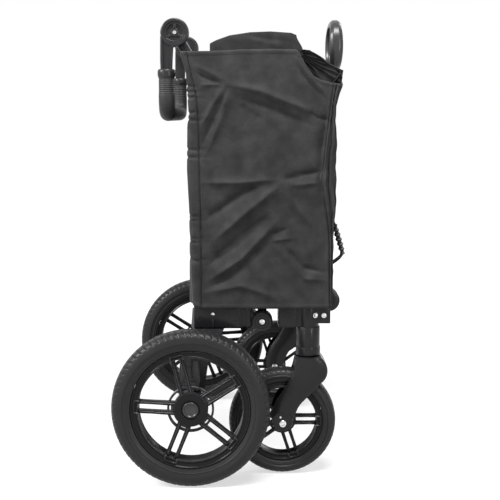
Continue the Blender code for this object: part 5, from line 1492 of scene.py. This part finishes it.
FOLDS = (
    Fold(4.6, 7, (-10.4, 755.1), (56.3, 739.9), (128.7, 711.3), (162.9, 694.2)),
    Fold(-3.4, 8, (10.5, 730), (50, 716), (100, 698), (150, 676)),
    Fold(-2.6, 8, (10.5, 718.9), (33.4, 701.8), (58.2, 686.5)),
    Fold(2, 5, (-69.5, 789.4), (-39, 774.2), (-10.4, 757)),
    Fold(-2.6, 4, (-65.7, 774.2), (-42.8, 762.7), (-19.9, 755.1)),
    Fold(1.8, 4, (-61.9, 751.3), (-19.9, 755.1)),
    Fold(2, 5, (-14.2, 749.4), (-37.1, 715.1), (-60, 671.3)),
    Fold(-2.4, 4, (-12.3, 745.6), (-31.4, 701.8), (-54.2, 644.6)),
    Fold(2.2, 5, (-6.6, 741.8), (-21.9, 686.5), (-48.5, 625.6)),
    Fold(2.8, 5, (115.3, 814.2), (130.6, 785.6), (157.2, 753.2), (185.8, 718.9)),
    Fold(-2.6, 4, (121, 789.4), (149.6, 753.2), (180.1, 724.6)),
    Fold(-3, 6, (140.1, 705.6), (161, 692.3), (183.9, 686.5)),
    Fold(-3.5, 6, (178.2, 701.8), (166.8, 629.4), (164.9, 574.1), (174.4, 524.6)),
    Fold(3, 6, (-56.1, 570.3), (14.3, 570.3), (84.8, 576)),
    Fold(-4, 8, (58.2, 570.3), (4.8, 539.8), (-50.4, 499.8)),
    Fold(4.5, 8, (90.6, 566.5), (20.1, 509.4), (-33.3, 461.7)),
    Fold(-4.5, 9, (71.5, 511.3), (14.3, 461.7), (-46.6, 412.2)),
    Fold(4.5, 7, (84.8, 497.9), (18.2, 425.5), (-42.8, 385.5)),
    Fold(-4, 8, (77.2, 473.2), (22, 416), (-19.9, 381.7), (-46.6, 368.4)),
    Fold(3, 7, (-50.4, 360.8), (14.3, 374.1), (56.3, 360.8), (86.7, 345.5)),
    Fold(-3, 6, (96.3, 576), (134.4, 585.6), (170.6, 591.3)),
    Fold(2.5, 5, (109.6, 564.6), (162.9, 570.3)),
    Fold(3, 6, (94.4, 570.3), (115.3, 534.1), (143.9, 496), (159.1, 473.2)),
    Fold(-2, 7, (96.3, 543.6), (121, 492.2)),
    Fold(-4, 6, (100.1, 446.5), (134.4, 408.4), (172.5, 398.9)),
    Fold(3, 6, (71.5, 457.9), (105.8, 423.6), (138.2, 387.4), (178.2, 383.6)),
    Fold(2, 4, (71.5, 459.8), (115.3, 465.5)),
    Fold(-2.5, 5, (73.4, 471.3), (103.9, 482.7)),
)

ROLL_FOLDS = (Fold(2.2, 9, (10, 842), (52, 834), (100, 822)), Fold(-2.2, 7, (30, 846), (66, 838), (112, 833)))


TOP_LINE = metres((-98.1, 815.5), (-42.8, 816.1), (14.3, 818.9), (71.5, 819.9), (121, 818.9),
    (128.7, 806.6), (140.1, 785.6), (151.5, 770.4), (166.8, 762.7), (183.9, 758), (206.8, 755))
CREST = metres((-41.9, 830.4), (-27.6, 837), (-4.7, 845.1), (33.4, 851.1), (71.5, 852.3), (109.6, 849.8),
    (120.1, 846.6))
REAR_EDGE = metres((328, -75.5), (337.9, -76), (414.1, -80), (514.1, -81.9), (595.1, -85.9), (675.1, -84.7),
    (698.5, -81.9), (774.7, -86.6), (814.9, -98.1))
REAR_SEAM = metres((353.1, -60), (515.1, -60.5), (667.5, -63.9), (734.7, -67.7), (810.9, -85))
FRONT_SEAM = metres((337.9, 184.9), (473.9, 182.8), (515.1, 176.3), (574.1, 168.7), (648.4, 176.3),
    (722.7, 184.9), (760, 190))
FRONT_EDGE = metres((330, 189), (343.6, 189.6), (429.3, 191.5), (492.2, 193.4), (534.1, 196.3),
    (600.8, 195.3), (648.4, 197.2), (686.5, 194.4), (715.1, 195.3), (755.1, 206.8))
GATHER = metres((189.5, 752), (199, 764), (206.8, 776), (203, 784.5), (184, 796), (164, 808), (145, 817.2),
    (130, 819.2), (118, 812), (115, 796), (123, 780), (140, 768), (156, 760))
FAN = metres((121.5, 820.5), (145.2, 818.5), (178, 797.6), (208.6, 780.3), (207, 768), (206.2, 755),
    (186, 750), (156, 748), (133, 764), (120, 790))
PINCHES = tuple(z / 1000 for z in (751.3, 739.9, 728.5, 699.9, 688.4, 633.2, 618, 507.5, 499.8, 465.5,
    457.9, 423.6))
BAND_X, HEM_X = -0.08, 0.184


def follow_sides(piece: bpy.types.Object) -> None:
    """Bakes the placement of a piece of the side into its mesh; the piece rides on no body."""
    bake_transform(piece)


def stitches(name: str, body: str, lines: Sequence[Sequence[Vector]], pitch: float = 0.0042,
             length: float = 0.0028, radius: float = 0.00034) -> bpy.types.Object:
    """Sews rows of stitches along lines.

    Args:
        name: Name of the piece.
        body: Body that it rides on, or an empty name.
        lines: The rows.
        pitch: Distance from stitch to stitch.
        length: Length of one stitch.
        radius: Thickness of the thread, halved.

    Returns:
        The piece.
    """
    form = Form(name)
    for line in lines:
        spots = resampled(line, pitch)
        for a, b in zip(spots, spots[1:]):
            if (b - a).length < 1e-6:
                continue
            place = Matrix.Translation((a + b) / 2) @ (b - a).to_track_quat("Z", "Y").to_matrix().to_4x4()
            bmesh.ops.create_icosphere(form.bm, subdivisions=1, radius=1.0,
                matrix=place @ Matrix.Diagonal((radius, radius, length / 2, 1)))
    return form.object(body, THREAD, 60)


@dataclass
class SidePanel(Assembly):
    """One side of the fabric body: a puckered rear band, the creased panel, and the gusset at the front."""

    side: Side
    base: float = 0.244
    lowest: float = 0.2385
    highest: float = 0.253
    gain: float = 1.6
    foot: float = 0.329
    lift: float = 0.008
    columns: int = 138
    rows: int = 232

    def hem(self, x: float) -> float:
        """Height of the panel's foot, which lifts towards its rear edge."""
        return self.foot + self.lift * (1 - smoothstep(BAND_X, -0.048, x)) ** 2

    def spot(self, u: float, v: float) -> tuple[float, float, str, float]:
        """Finds where a share of the panel lies, seen from the side.

        Args:
            u: Share from the rear edge to the front edge.
            v: Share from the foot to the top.

        Returns:
            X, Z, the zone's name and the share across that zone.
        """
        top = 0.8
        for _ in range(4):
            top = along(TOP_LINE, self.across(u, top)[0])
        foot = self.hem(self.across(u, self.foot)[0])
        z = foot + v * (top - foot)
        x, zone, t = self.across(u, z)
        return x, z, zone, t

    @staticmethod
    def across(u: float, z: float) -> tuple[float, str, float]:
        """Where a share across the panel lies at a height.

        Args:
            u: Share from the rear edge to the front edge.
            z: The height.

        Returns:
            X, the zone's name and the share across that zone.
        """
        edge, rear, front, tip = (along(line, z) for line in (REAR_EDGE, REAR_SEAM, FRONT_SEAM, FRONT_EDGE))
        if u < 0.13:
            return edge + (rear - edge) * u / 0.13, "band", u / 0.13
        if u > 0.84:
            return front + (tip - front) * (u - 0.84) / 0.16, "gusset", (u - 0.84) / 0.16
        t = (u - 0.13) / 0.71
        t = t - 0.8 * math.sin(math.tau * t) / math.tau
        return rear + (front - rear) * t, "panel", t

    def surface(self, u: float, v: float) -> Vector:
        """Point of the panel's outer face.

        Args:
            u: Share from the rear edge to the front edge.
            v: Share from the foot to the top.

        Returns:
            The point.
        """
        x, z, zone, t = self.spot(u, v)
        odd, shift = (0.0, 0.0) if self.side is Side.RIGHT else (7.3, 0.011)
        rise = self.gain * sum(fold.rise(x, z + shift) for fold in FOLDS)
        rise += 0.0022 * smoothstep(0.7, 0.745, z + 0.28 * max(0.0, x + 0.01)) * smoothstep(0.83, 0.765, z)
        place = Vector((x + odd, 0.4, z))
        rise += 0.0014 * noise.noise(place * 11) + 0.0006 * noise.noise(place * 31) \
            + 0.00025 * noise.noise(place * 90)
        for pinch in PINCHES:
            grip = ridge(z - pinch, 0.0034)
            if grip > 0.02:
                near = math.exp(-max(0.0, x - along(REAR_SEAM, z)) / 0.012)
                rise -= 0.0012 * grip * near
        if zone == "band":
            puff = 0.0034 * bulge(0.1 + 0.9 * t, 0.6) * (1 + 0.5 * uneven(odd, 1.3, z * 21))
            grip = max(ridge(z - p - 0.004 * t * math.sin(p * 900), 0.0026) for p in PINCHES)
            rise = 0.5 * rise + puff * (1 - 0.5 * grip)
            turn = 1 - min(1.0, t / 0.42)
            rise -= 0.0075 * (1 - math.sqrt(max(0.0, 1 - turn * turn)))
            x += 0.0016 * grip * (1 - t)
        elif zone == "gusset":
            sway = 2.6 * uneven(0, odd, z * 15)
            deep = math.sin(t * math.tau * 2.1 + 9.0 * z + sway)
            deep += 0.5 * math.sin(t * math.tau * 3.7 - 31 * z + 2 * sway)
            rise = 0.6 * rise - 0.001 + 0.003 * deep * bulge(t, 0.6)
            rise -= 0.0042 * smoothstep(0.7, 1.0, t)
            x += 0.0016 * uneven(z * 46, odd, 3.1) * t
        for line, deep in ((REAR_SEAM, 0.0016), (FRONT_SEAM, 0.0014)):
            away = abs(x - along(line, z))
            rise -= deep * ridge(away, 0.0011)
            rise += 0.0004 * ridge(away - 0.0034, 0.002)
        low = z - self.hem(x)
        rise += 0.0008 * (1 - smoothstep(0.0085, 0.01, low)) - 0.0007 * ridge(low - 0.0088, 0.0009)
        rise -= 0.0018 * (1 - smoothstep(0.0, 0.002, low))
        head = (1 - v) * 0.49
        rise += 0.0007 * (1 - smoothstep(0.007, 0.0085, head))
        rise -= 0.0032 * (1 - smoothstep(0.0, 0.003, head)) ** 1.5
        out = self.base + rise
        out = min(self.highest, max(self.lowest - (0.003 if zone == "band" and t < 0.4 else 0.0), out))
        return Vector((x, self.side.value * out, z))

    def row(self, spot: Callable[[float], tuple[float, float]], count: int) -> list[Vector]:
        """A line just above the panel's face.

        Args:
            spot: The line's u and v for a share of it.
            count: Steps along the line.

        Returns:
            The line.
        """
        above = Vector((0, self.side.value * 0.0001, 0))
        return [self.surface(*spot(k / count)) + above for k in range(count + 1)]

    def build(self) -> None:
        """Builds the panel with its hems and stitches."""
        word = self.side.word
        form = Form(f"side_panel_{word}")
        form.sheet(self.columns, self.rows, self.surface)
        panel = form.cloth("", CLOTH, 50, 0.0013, (0, self.side.value, 0), [f"side_wall_{word}",
            f"side_hem_{word}"])
        follow_sides(panel)
        rows = [self.row(lambda s: (0.141, 0.006 + 0.985 * s), 260),
            self.row(lambda s: (0.825, 0.006 + 0.985 * s), 260), self.row(lambda s: (0.02 + 0.96 * s, 0.02),
            160), self.row(lambda s: (0.02 + 0.78 * s, 0.984), 160)]
        follow_sides(stitches(f"side_stitches_{word}", "", rows))
        LOG.info("side panel %s sewn", word)


@dataclass
class TopRoll(Assembly):
    """Loose top of one side, standing above the panel and rolled over inwards."""

    side: Side
    base: float = 0.24
    low: float = 0.806
    crest_length: float = 0.162
    foot_length: float = 0.1744
    columns: int = 96
    rows: int = 64

    def surface(self, u: float, v: float) -> Vector:
        """Point of the roll: its outer face, its crest, and its inner face back down.

        Args:
            u: Share from rear to front.
            v: Share of the way over the crest.

        Returns:
            The point.
        """
        start = CREST[0][0]
        crest_x, foot_x = start + self.crest_length * u, start + self.foot_length * u
        crest = along(CREST, crest_x)
        odd = 0.0 if self.side is Side.RIGHT else 5.1
        if v < 0.5:
            t = v / 0.5
            z = self.low + (crest - self.low) * math.sin(t * math.pi / 2) ** 0.9
            y = self.base - 0.003 * t ** 3
        else:
            t = (v - 0.5) / 0.5
            z = crest - (crest - self.low + 0.01) * (1 - math.cos(t * math.pi / 2)) ** 0.9
            y = self.base - 0.003 - 0.031 * math.sin(t * math.pi / 2)
        x = foot_x + (crest_x - foot_x) * smoothstep(self.low + 0.01, crest, z)
        crease = 0.0018 * math.sin(9 * u + 20 * (z - self.low)) + 0.0012 * uneven(x * 42, odd, z * 60)
        crease += sum(fold.rise(x, z) for fold in ROLL_FOLDS)
        ends = smoothstep(0.0, 0.06, u) * smoothstep(1.0, 0.94, u)
        y -= 0.006 * (1 - ends)
        return Vector((x, self.side.value * (y + crease * (0.4 + 0.6 * ends)), z))

    def build(self) -> None:
        """Builds the roll."""
        form = Form(f"top_roll_{self.side.word}")
        form.sheet(self.columns, self.rows, self.surface)
        # The roll takes the darker copy of the cloth: painted shade.
        roll = form.cloth("", PAINTED_SHADE_CLOTH, 55, 0.0012, (0, 0, 1))
        follow_sides(roll)


@dataclass
class FrontWall(Assembly):
    """Front of the fabric body: the wall with its corners, and its gathered top folded back over the tube."""

    centre_x: float = 0.1902
    half: float = 0.2388
    low: float = 0.3365
    high: float = 0.758
    grip_half: float = 0.068

    def face(self, u: float, v: float) -> Vector:
        """Point of the wall's face.

        Args:
            u: Share from right to left.
            v: Share of the height.

        Returns:
            The point.
        """
        z = self.low + (self.high - self.low) * v
        y = self.half * (2 * u - 1)
        corner = smoothstep(0.196, self.half, abs(y))
        reach = along(FRONT_EDGE, z) - 0.0004
        wave = -0.0011 + 0.0008 * math.sin(30 * y + 11 * z) + 0.0007 * uneven(3.7, y * 16, z * 9)
        wave += 0.0012 * uneven(1.7, y * 40, z * 14)
        x = self.centre_x + min(0.0004, wave) + (reach - self.centre_x) * corner
        x -= 0.0012 * ridge(z - self.low - 0.01, 0.001) * (1 - corner)
        return Vector((x, y, z))

    def gather(self, u: float, v: float) -> Vector:
        """Point of the gathered top: forward and up from the wall, back over the tube, and down inside.

        Args:
            u: Share from right to left.
            v: Share of the way over the tube.

        Returns:
            The point.
        """
        y = 0.2372 * (2 * u - 1)
        place = v * (len(GATHER) - 1)
        k = min(int(place), len(GATHER) - 2)
        t = place - k
        near = (GATHER[max(k - 1, 0)], GATHER[k], GATHER[k + 1], GATHER[min(k + 2, len(GATHER) - 1)])

        def eased(i: int) -> float:
            """X or Z on a smooth curve through the section's points.

            Args:
                i: 0 for X, 1 for Z.

            Returns:
                The value.
            """
            a, b, c, d = (point[i] for point in near)
            return 0.5 * (2 * b + (c - a) * t + (2 * a - 5 * b + 4 * c - d) * t * t
                          + (3 * b - a - 3 * c + d) * t ** 3)

        x, z = eased(0), eased(1)
        room = smoothstep(self.grip_half, self.grip_half + 0.05, abs(y))
        if x > 0.184:
            x = 0.184 + (x - 0.184) * (0.16 + 0.84 * room)
        sag = 0.01 * (1 - smoothstep(0.1, 0.225, abs(y)))
        z -= sag * smoothstep(0.77, 0.8, z)
        pleat = 0.0026 * math.sin(70 * y + 6 * v + 3 * uneven(y * 7, 2.2, v * 3))
        pleat += 0.0022 * uneven(y * 26, 5.5, v * 6)
        loose = bulge(v * 1.05, 0.5) if v < 0.95 else 0.3
        middle = Vector((0.158, y, 0.782))
        point = Vector((x, y, z))
        away = (point - middle).normalized()
        point += away * (pleat * loose - 0.0026)
        if abs(y) < self.grip_half + 0.02:
            point.x = min(point.x, 0.189)
        return point

    def fan(self, side: Side) -> Callable[[float, float], Vector]:
        """Pleats that fan out over one end of the gathered top.

        Args:
            side: The end.

        Returns:
            The surface of the fan.
        """
        def surface(u: float, v: float) -> Vector:
            """Point of the fan.

            Args:
                u: Share round the rim.
                v: Share of the way from the apex.

            Returns:
                The point.
            """
            place = u * (len(FAN) - 1)
            k = min(int(place), len(FAN) - 2)
            x, z = Vector((0.1215, 0.813)).lerp(Vector(FAN[k]).lerp(Vector(FAN[k + 1]), place - k), v)
            pleat = abs(((u * 9.0 + 0.35 * uneven(u * 5, 1.0, v * 3)) % 1.0) - 0.5) * 2
            rise = 0.005 * (pleat ** 1.5 - 0.6) * smoothstep(0.0, 0.35, v) * (1.0 - 0.35 * v)
            rise += 0.0012 * uneven(x * 55, 4.0, z * 55)
            y = 0.2345 + rise - 0.003 * smoothstep(0.85, 1.0, v)
            return Vector((x, side.value * min(y, 0.2392), z))
        return surface

    def build(self) -> None:
        """Builds the wall, its gathered top and the fans at its ends."""
        form = Form("front_wall_cloth")
        form.sheet(150, 120, self.face)
        wall = form.cloth("front_frame", CLOTH, 50, 0.0013, (1, 0, 0), ["front_wall"])
        form = Form("front_gather")
        form.sheet(220, 60, self.gather)
        # The gathered top and the fans below take the darker copy of the cloth: painted shade of the inner
        # folds.
        top = form.cloth("front_frame", INNER_FOLD_SHADE_CLOTH, 60, 0.0013, (0, 0, 1))
        for side in Side:
            form = Form(f"front_fan_{side.word}")
            form.sheet(110, 44, self.fan(side))
            fan = form.cloth("front_frame", INNER_FOLD_SHADE_CLOTH, 60, 0.0012, (0, side.value, 0))
        height = 0.0088 / (self.high - self.low)
        seam = [self.face(k / 160, height) + Vector((0.0003, 0, 0)) for k in range(6, 155)]
        stitches("front_wall_stitches", "front_frame", [seam])


@dataclass
class RearWall(Assembly):
    """Padded rear of the fabric body, puckered at its sides, with a bound top."""

    out_x: float = -0.0846
    half: float = 0.238
    low: float = 0.3365
    high: float = 0.744

    def face(self, u: float, v: float) -> Vector:
        """Point of the outer face.

        Args:
            u: Share from right to left.
            v: Share of the height.

        Returns:
            The point.
        """
        z = self.low + (self.high - self.low) * v
        y = self.half * (2 * u - 1)
        edge = smoothstep(0.185, self.half, abs(y))
        grip = max(ridge(z - p, 0.004) for p in PINCHES)
        puff = 0.002 * bulge((0.238 - abs(y)) / 0.05) * (1 - 0.8 * grip)
        x = self.out_x + 0.0024 - puff
        side_x = along(REAR_EDGE, z) + 0.0016 * grip
        x += (side_x + 0.0006 - x) * edge ** 2
        x -= 0.0009 * uneven(2.1, y * 14, z * 10) + 0.0005 * uneven(8.1, y * 45, z * 30)
        for seam in (0.17, -0.17):
            x += 0.0016 * ridge(y - seam, 0.0014)
        for seam in (0.455, 0.64):
            x += 0.0014 * ridge(z - seam, 0.0014) * (1 - edge)
        return Vector((x, y, z))

    def build(self) -> None:
        """Builds the wall, its stitches and the binding of its top."""
        form = Form("rear_wall_cloth")
        form.sheet(170, 190, self.face)
        form.cloth("rear_frame", CLOTH, 50, 0.006, (-1, 0, 0), ["rear_wall"])
        above = Vector((0.0004, 0, 0))
        rows = [[self.face(0.5 + y / (2 * self.half), k / 200) - above for k in range(2, 199)]
            for y in (0.1738, -0.1738)]
        rows += [[self.face(k / 160, (z - self.low) / (self.high - self.low)) - above
            for k in range(24, 137)] for z in (0.4588, 0.6438)]
        stitches("rear_wall_stitches", "rear_frame", rows)
        form = Form("rear_wall_binding")
        path = [self.face(k / 120, 1.0) + Vector((0.003, 0, 0)) for k in range(121)]
        form.sweep(path, 0.005, 16, flat=1.0, up=(0, 0, 1))
        form.object("rear_frame", STRAP, 50)


@dataclass
class Mat(Assembly):
    """One half of the padded floor mat, swollen by cloth simulation."""

    word: str
    voxel: float = 0.005
    pressure: float = 4.0
    cap: float = 0.0045
    shrink: float = 0.985

    def build(self) -> None:
        """Builds the mat from a merged copy of the frame's own."""
        node = f"floor_mat_{self.word}"
        form = Form(f"{node}_quilted")
        form.bm.from_mesh(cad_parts[node].data)
        bmesh.ops.remove_doubles(form.bm, verts=form.bm.verts, dist=1e-5)
        low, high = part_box(node)
        middle = (low + high) / 2
        bmesh.ops.scale(form.bm, vec=[self.shrink] * 3, verts=form.bm.verts,
            space=Matrix.Translation(-middle))
        mat = form.object("", MAT_CLOTH, 70, [node])
        remesh = mat.modifiers.new("remesh", "REMESH")
        remesh.mode, remesh.voxel_size = "VOXEL", self.voxel * 1
        self.settle(mat)
        self.swell(mat)
        soft = mat.modifiers.new("soft", "SUBSURF")
        soft.levels = soft.render_levels = 1
        mat.data.shade_smooth()
        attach(mat, f"floor_{self.word}")

    @staticmethod
    def settle(piece: bpy.types.Object) -> None:
        """Applies the piece's modifiers to its mesh.

        Args:
            piece: The piece.
        """
        done = bpy.data.meshes.new_from_object(piece.evaluated_get(bpy.context.evaluated_depsgraph_get()))
        piece.modifiers.clear()
        piece.data = done

    def swell(self, mat: bpy.types.Object) -> None:
        """Blows the mat up a little with Cloth and caps how far each point moves.

        Args:
            mat: The mat.
        """
        before = [v.co.copy() for v in mat.data.vertices]
        cloth = mat.modifiers.new("padding", "CLOTH")
        cloth.settings.quality = 5
        cloth.settings.mass = 0.3
        cloth.settings.use_pressure = True
        cloth.settings.uniform_pressure_force = self.pressure
        cloth.settings.effector_weights.gravity = 0.0
        cloth.point_cache.frame_start, cloth.point_cache.frame_end = 1, 20
        scene = bpy.context.scene
        for step in range(1, 21):
            scene.frame_set(step)
        self.settle(mat)
        scene.frame_set(1)
        for vert, start in zip(mat.data.vertices, before):
            move = vert.co - start
            if move.length > self.cap:
                vert.co = start + move.normalized() * self.cap


@dataclass
class HoldingStrap(Assembly):
    """Holding strap at the front: its webbing, a ribbed buckle that hangs off the wall, and its return."""

    y: float = -0.2187
    half: float = 0.0105
    thin: float = 0.0007

    def build(self) -> None:
        """Builds the webbing and the buckle."""
        form = Form("strap_webbing")
        y = self.y
        for path in (metres((191.2, 519.5), (192.1, 506), (195.2, 493), (198.5, 483)),
                metres((209.8, 434.5), (208.5, 429), (203, 423.8), (196.5, 419), (191.8, 415)),
                metres((211.8, 432), (208.5, 426.2), (203.5, 421.2), (197.5, 416.5), (191.8, 412.8))):
            line = rounded([Vector((x, y, z)) for x, z in path], 0.004, 4)
            form.sweep(line, self.thin, 16, lambda angle: superellipse(angle, 6), flat=self.half / self.thin)
        form.object("front_frame", STRAP, 40)
        form = Form("strap_buckle_ribbed")
        line = rounded([Vector((x, y, z)) for x, z in ((0.1957, 0.49), (0.1988, 0.478), (0.2035, 0.462),
            (0.2085, 0.445), (0.2122, 0.43))], 0.01, 4)

        def girth(share: float) -> float:
            """The buckle's thickness, halved: ribs over a fuller middle, and drawn in at both ends.

            Args:
                share: Share of its length.

            Returns:
                The thickness.
            """
            ribs = 1 + 0.22 * math.sin(share * math.tau * 6.5)
            ends = (0.55 + 0.45 * smoothstep(0, 0.04, share)) * (0.55 + 0.45 * smoothstep(1, 0.96, share))
            return (0.0036 + 0.0016 * bulge(share, 0.6)) * ribs * ends

        form.sweep(resampled(line, 0.0007), girth, 28, lambda angle: superellipse(angle, 3), flat=2.05)
        form.object("front_frame", GLOSS, 45, ["strap_buckle"])


@dataclass
class Dressing(Assembly):
    """Finishes for the frame's own nodes that stay showing."""

    finishes: tuple[tuple[str, Finish], ...] = (("rear_leg", TUBE), ("brake_pedal", GLOSS),
        ("brake_ring", STEEL), ("brake_pin", STEEL), ("rear_axle", STEEL), ("floor_frame", TUBE),
        ("front_axle", STEEL))

    def build(self) -> None:
        """Gives every shown node its finish."""
        standing = {"moulded_black": SATIN, "frame_paint": TUBE, "bare_steel": STEEL, "wheel_plastic": WHEEL,
                    "tyre_rubber": TYRE, "grip_foam": GRIP, "grey_plastic": GREY, "dark_fabric": CLOTH}
        for name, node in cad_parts.items():
            if node.hide_render:
                continue
            chosen = next((f for start, f in self.finishes if name.startswith(start)), None)
            for slot in node.material_slots:
                finish = chosen or next((f for key,
                    f in standing.items() if slot.material and slot.material.name.startswith(key)), SATIN)
                slot.material = finish.material()
            LOG.info("%s keeps its own shape", name)


@dataclass
class Studio:
    """Pale floor, soft lamps, and the camera at the photograph's angle."""

    eye: tuple[float, float, float] = (0.0144, -2.0636, 0.6934)
    pitch: float = 5.484
    yaw: float = -0.592
    lens: float = 69.68
    shift: float = -0.08

    @staticmethod
    def lamp(name: str, place: Place, aim: Place, size: Point, power: float) -> None:
        """Adds one soft lamp.

        Args:
            name: Name of the lamp.
            place: Where it stands.
            aim: What it points at.
            size: Width and height.
            power: Power in watts.
        """
        data = bpy.data.lights.new(name, "AREA")
        data.shape, data.size, data.size_y, data.energy = "RECTANGLE", size[0], size[1], power
        lamp = bpy.data.objects.new(name, data)
        lamp.location = place
        lamp.rotation_euler = (Vector(aim) - Vector(place)).to_track_quat("-Z", "Y").to_euler()
        show(lamp)

    @staticmethod
    def seen(tree: bpy.types.NodeTree) -> Socket:
        """Tells the rays that see the surroundings from those that only carry light.

        Args:
            tree: The node tree to add to.

        Returns:
            1 for camera, glossy and transmission rays, and 0 for the others.
        """
        rays = tree.nodes.new("ShaderNodeLightPath").outputs
        found = rays["Is Camera Ray"]
        for kind in ("Is Glossy Ray", "Is Transmission Ray"):
            either = tree.nodes.new("ShaderNodeMath")
            either.operation = "MAXIMUM"
            tree.links.new(found, either.inputs[0])
            tree.links.new(rays[kind], either.inputs[1])
            found = either.outputs["Value"]
        return found

    def floor(self) -> None:
        """Builds the pale floor, which shows white and keeps the shadow."""
        mesh = bpy.data.meshes.new("studio_floor")
        form = bmesh.new()
        bmesh.ops.create_grid(form, x_segments=1, y_segments=1, size=30.0)
        form.to_mesh(mesh)
        form.free()
        floor = bpy.data.objects.new("studio_floor", mesh)
        show(floor)
        sheet = NodeSheet("pale_floor")
        sheet.steady(Base_Color=(0.4, 0.4, 0.4, 1.0), Roughness=0.9, Specular_IOR_Level=0.0,
            Emission_Color=(1.0, 1.0, 1.0, 1.0))
        reach = sheet.add("ShaderNodeVectorMath", operation="LENGTH")
        sheet.link(sheet.place, reach.inputs[0])
        away = sheet.add("ShaderNodeMapRange", interpolation_type="SMOOTHSTEP")
        away.inputs["From Min"].default_value, away.inputs["From Max"].default_value = 0.5, 3.0
        away.inputs["To Min"].default_value, away.inputs["To Max"].default_value = 0.62, 1.0
        sheet.link(reach.outputs["Value"], away.inputs["Value"])
        glow = sheet.joined("MULTIPLY", self.seen(sheet.tree), away.outputs["Result"])
        sheet.link(glow, sheet.shader.inputs["Emission Strength"])
        mesh.materials.append(sheet.material)

    def world(self) -> None:
        """Sets the surroundings: white where they are seen, and even light elsewhere."""
        world = bpy.data.worlds.new("studio_world")
        world.use_nodes = True
        bpy.context.scene.world = world
        tree = world.node_tree
        ground = tree.nodes["Background"]
        span = tree.nodes.new("ShaderNodeMapRange")
        span.inputs["To Min"].default_value, span.inputs["To Max"].default_value = 0.17, 1.0
        tree.links.new(self.seen(tree), span.inputs["Value"])
        tree.links.new(span.outputs["Result"], ground.inputs["Strength"])
        ground.inputs["Color"].default_value = (1.0, 1.0, 1.0, 1.0)

    def build(self) -> None:
        """Builds the floor, the lamps, the surroundings and the camera."""
        scene = bpy.context.scene
        scene.view_settings.view_transform = "Standard"
        self.floor()
        self.world()
        self.lamp("key_lamp", (-2.5, -1.1, 2.1), (0.03, -0.1, 0.6), (0.8, 1.0), 125)
        self.lamp("overhead_lamp", (0.2, -1.0, 2.3), (0.03, -0.1, 0.8), (1.0, 0.7), 60)
        self.lamp("right_strip", (1.5, -2.4, 0.95), (0.05, 0.0, 0.4), (0.16, 1.3), 17)
        self.lamp("left_strip", (-1.7, -2.3, 0.8), (0.0, 0.0, 0.4), (0.12, 1.2), 8)
        self.lamp("rim_lamp", (1.6, 1.4, 1.7), (0.05, 0.0, 0.5), (0.6, 1.2), 26)
        data = bpy.data.cameras.new("studio_camera")
        data.lens, data.sensor_width, data.shift_y = self.lens, 36.0, self.shift
        camera = bpy.data.objects.new("studio_camera", data)
        camera.location = self.eye
        camera.rotation_euler = (math.radians(90 - self.pitch), 0.0, math.radians(self.yaw))
        show(camera)
        scene.camera = camera


def rear_wheel(side: Side) -> Wheel:
    """One of the large rear wheels."""
    name = f"rear_wheel_{side.word}"
    return Wheel(name, side, name, (AXLE_X, side.value * 0.285, 0.149429), 0.1493, 0.05, 0.113, 0.098,
        0.038, 0.008, 0.018, 0.033, (0.04, 0.044), 32.5, 70, 1, 0.0147)


def front_wheel(side: Side) -> Wheel:
    """One of the smaller front wheels."""
    name = f"front_wheel_{side.word}"
    return Wheel(name, side, name, (AXLE_X + 0.175, side.value * 0.214, 0.10434), 0.1042, 0.042, 0.078,
        0.066, 0.032, 0.0065, 0.0145, 0.0195, (0.0235, 0.027), 0.0, 60, 3, 0.0, -0.005, 0.005)


def main() -> None:
    """Builds the wagon's pieces in order, dresses the frame, and sets up the studio."""
    logging.basicConfig(level=logging.INFO, format="%(message)s")
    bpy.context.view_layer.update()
    Studio().build()
    groups: list[Assembly] = []
    for side in Side:
        groups += [rear_wheel(side), front_wheel(side), Caster(side), Brackets(side)]
    groups += [Tubes(), PushHandle(), PullGrip()]
    for side in Side:
        groups += [SidePanel(side), TopRoll(side)]
    groups += [FrontWall(), RearWall(), Mat("front"), Mat("rear"), HoldingStrap(), Dressing()]
    for group in groups:
        group.build()
        LOG.info("%s done", type(group).__name__)


if __name__ == "__main__":
    main()
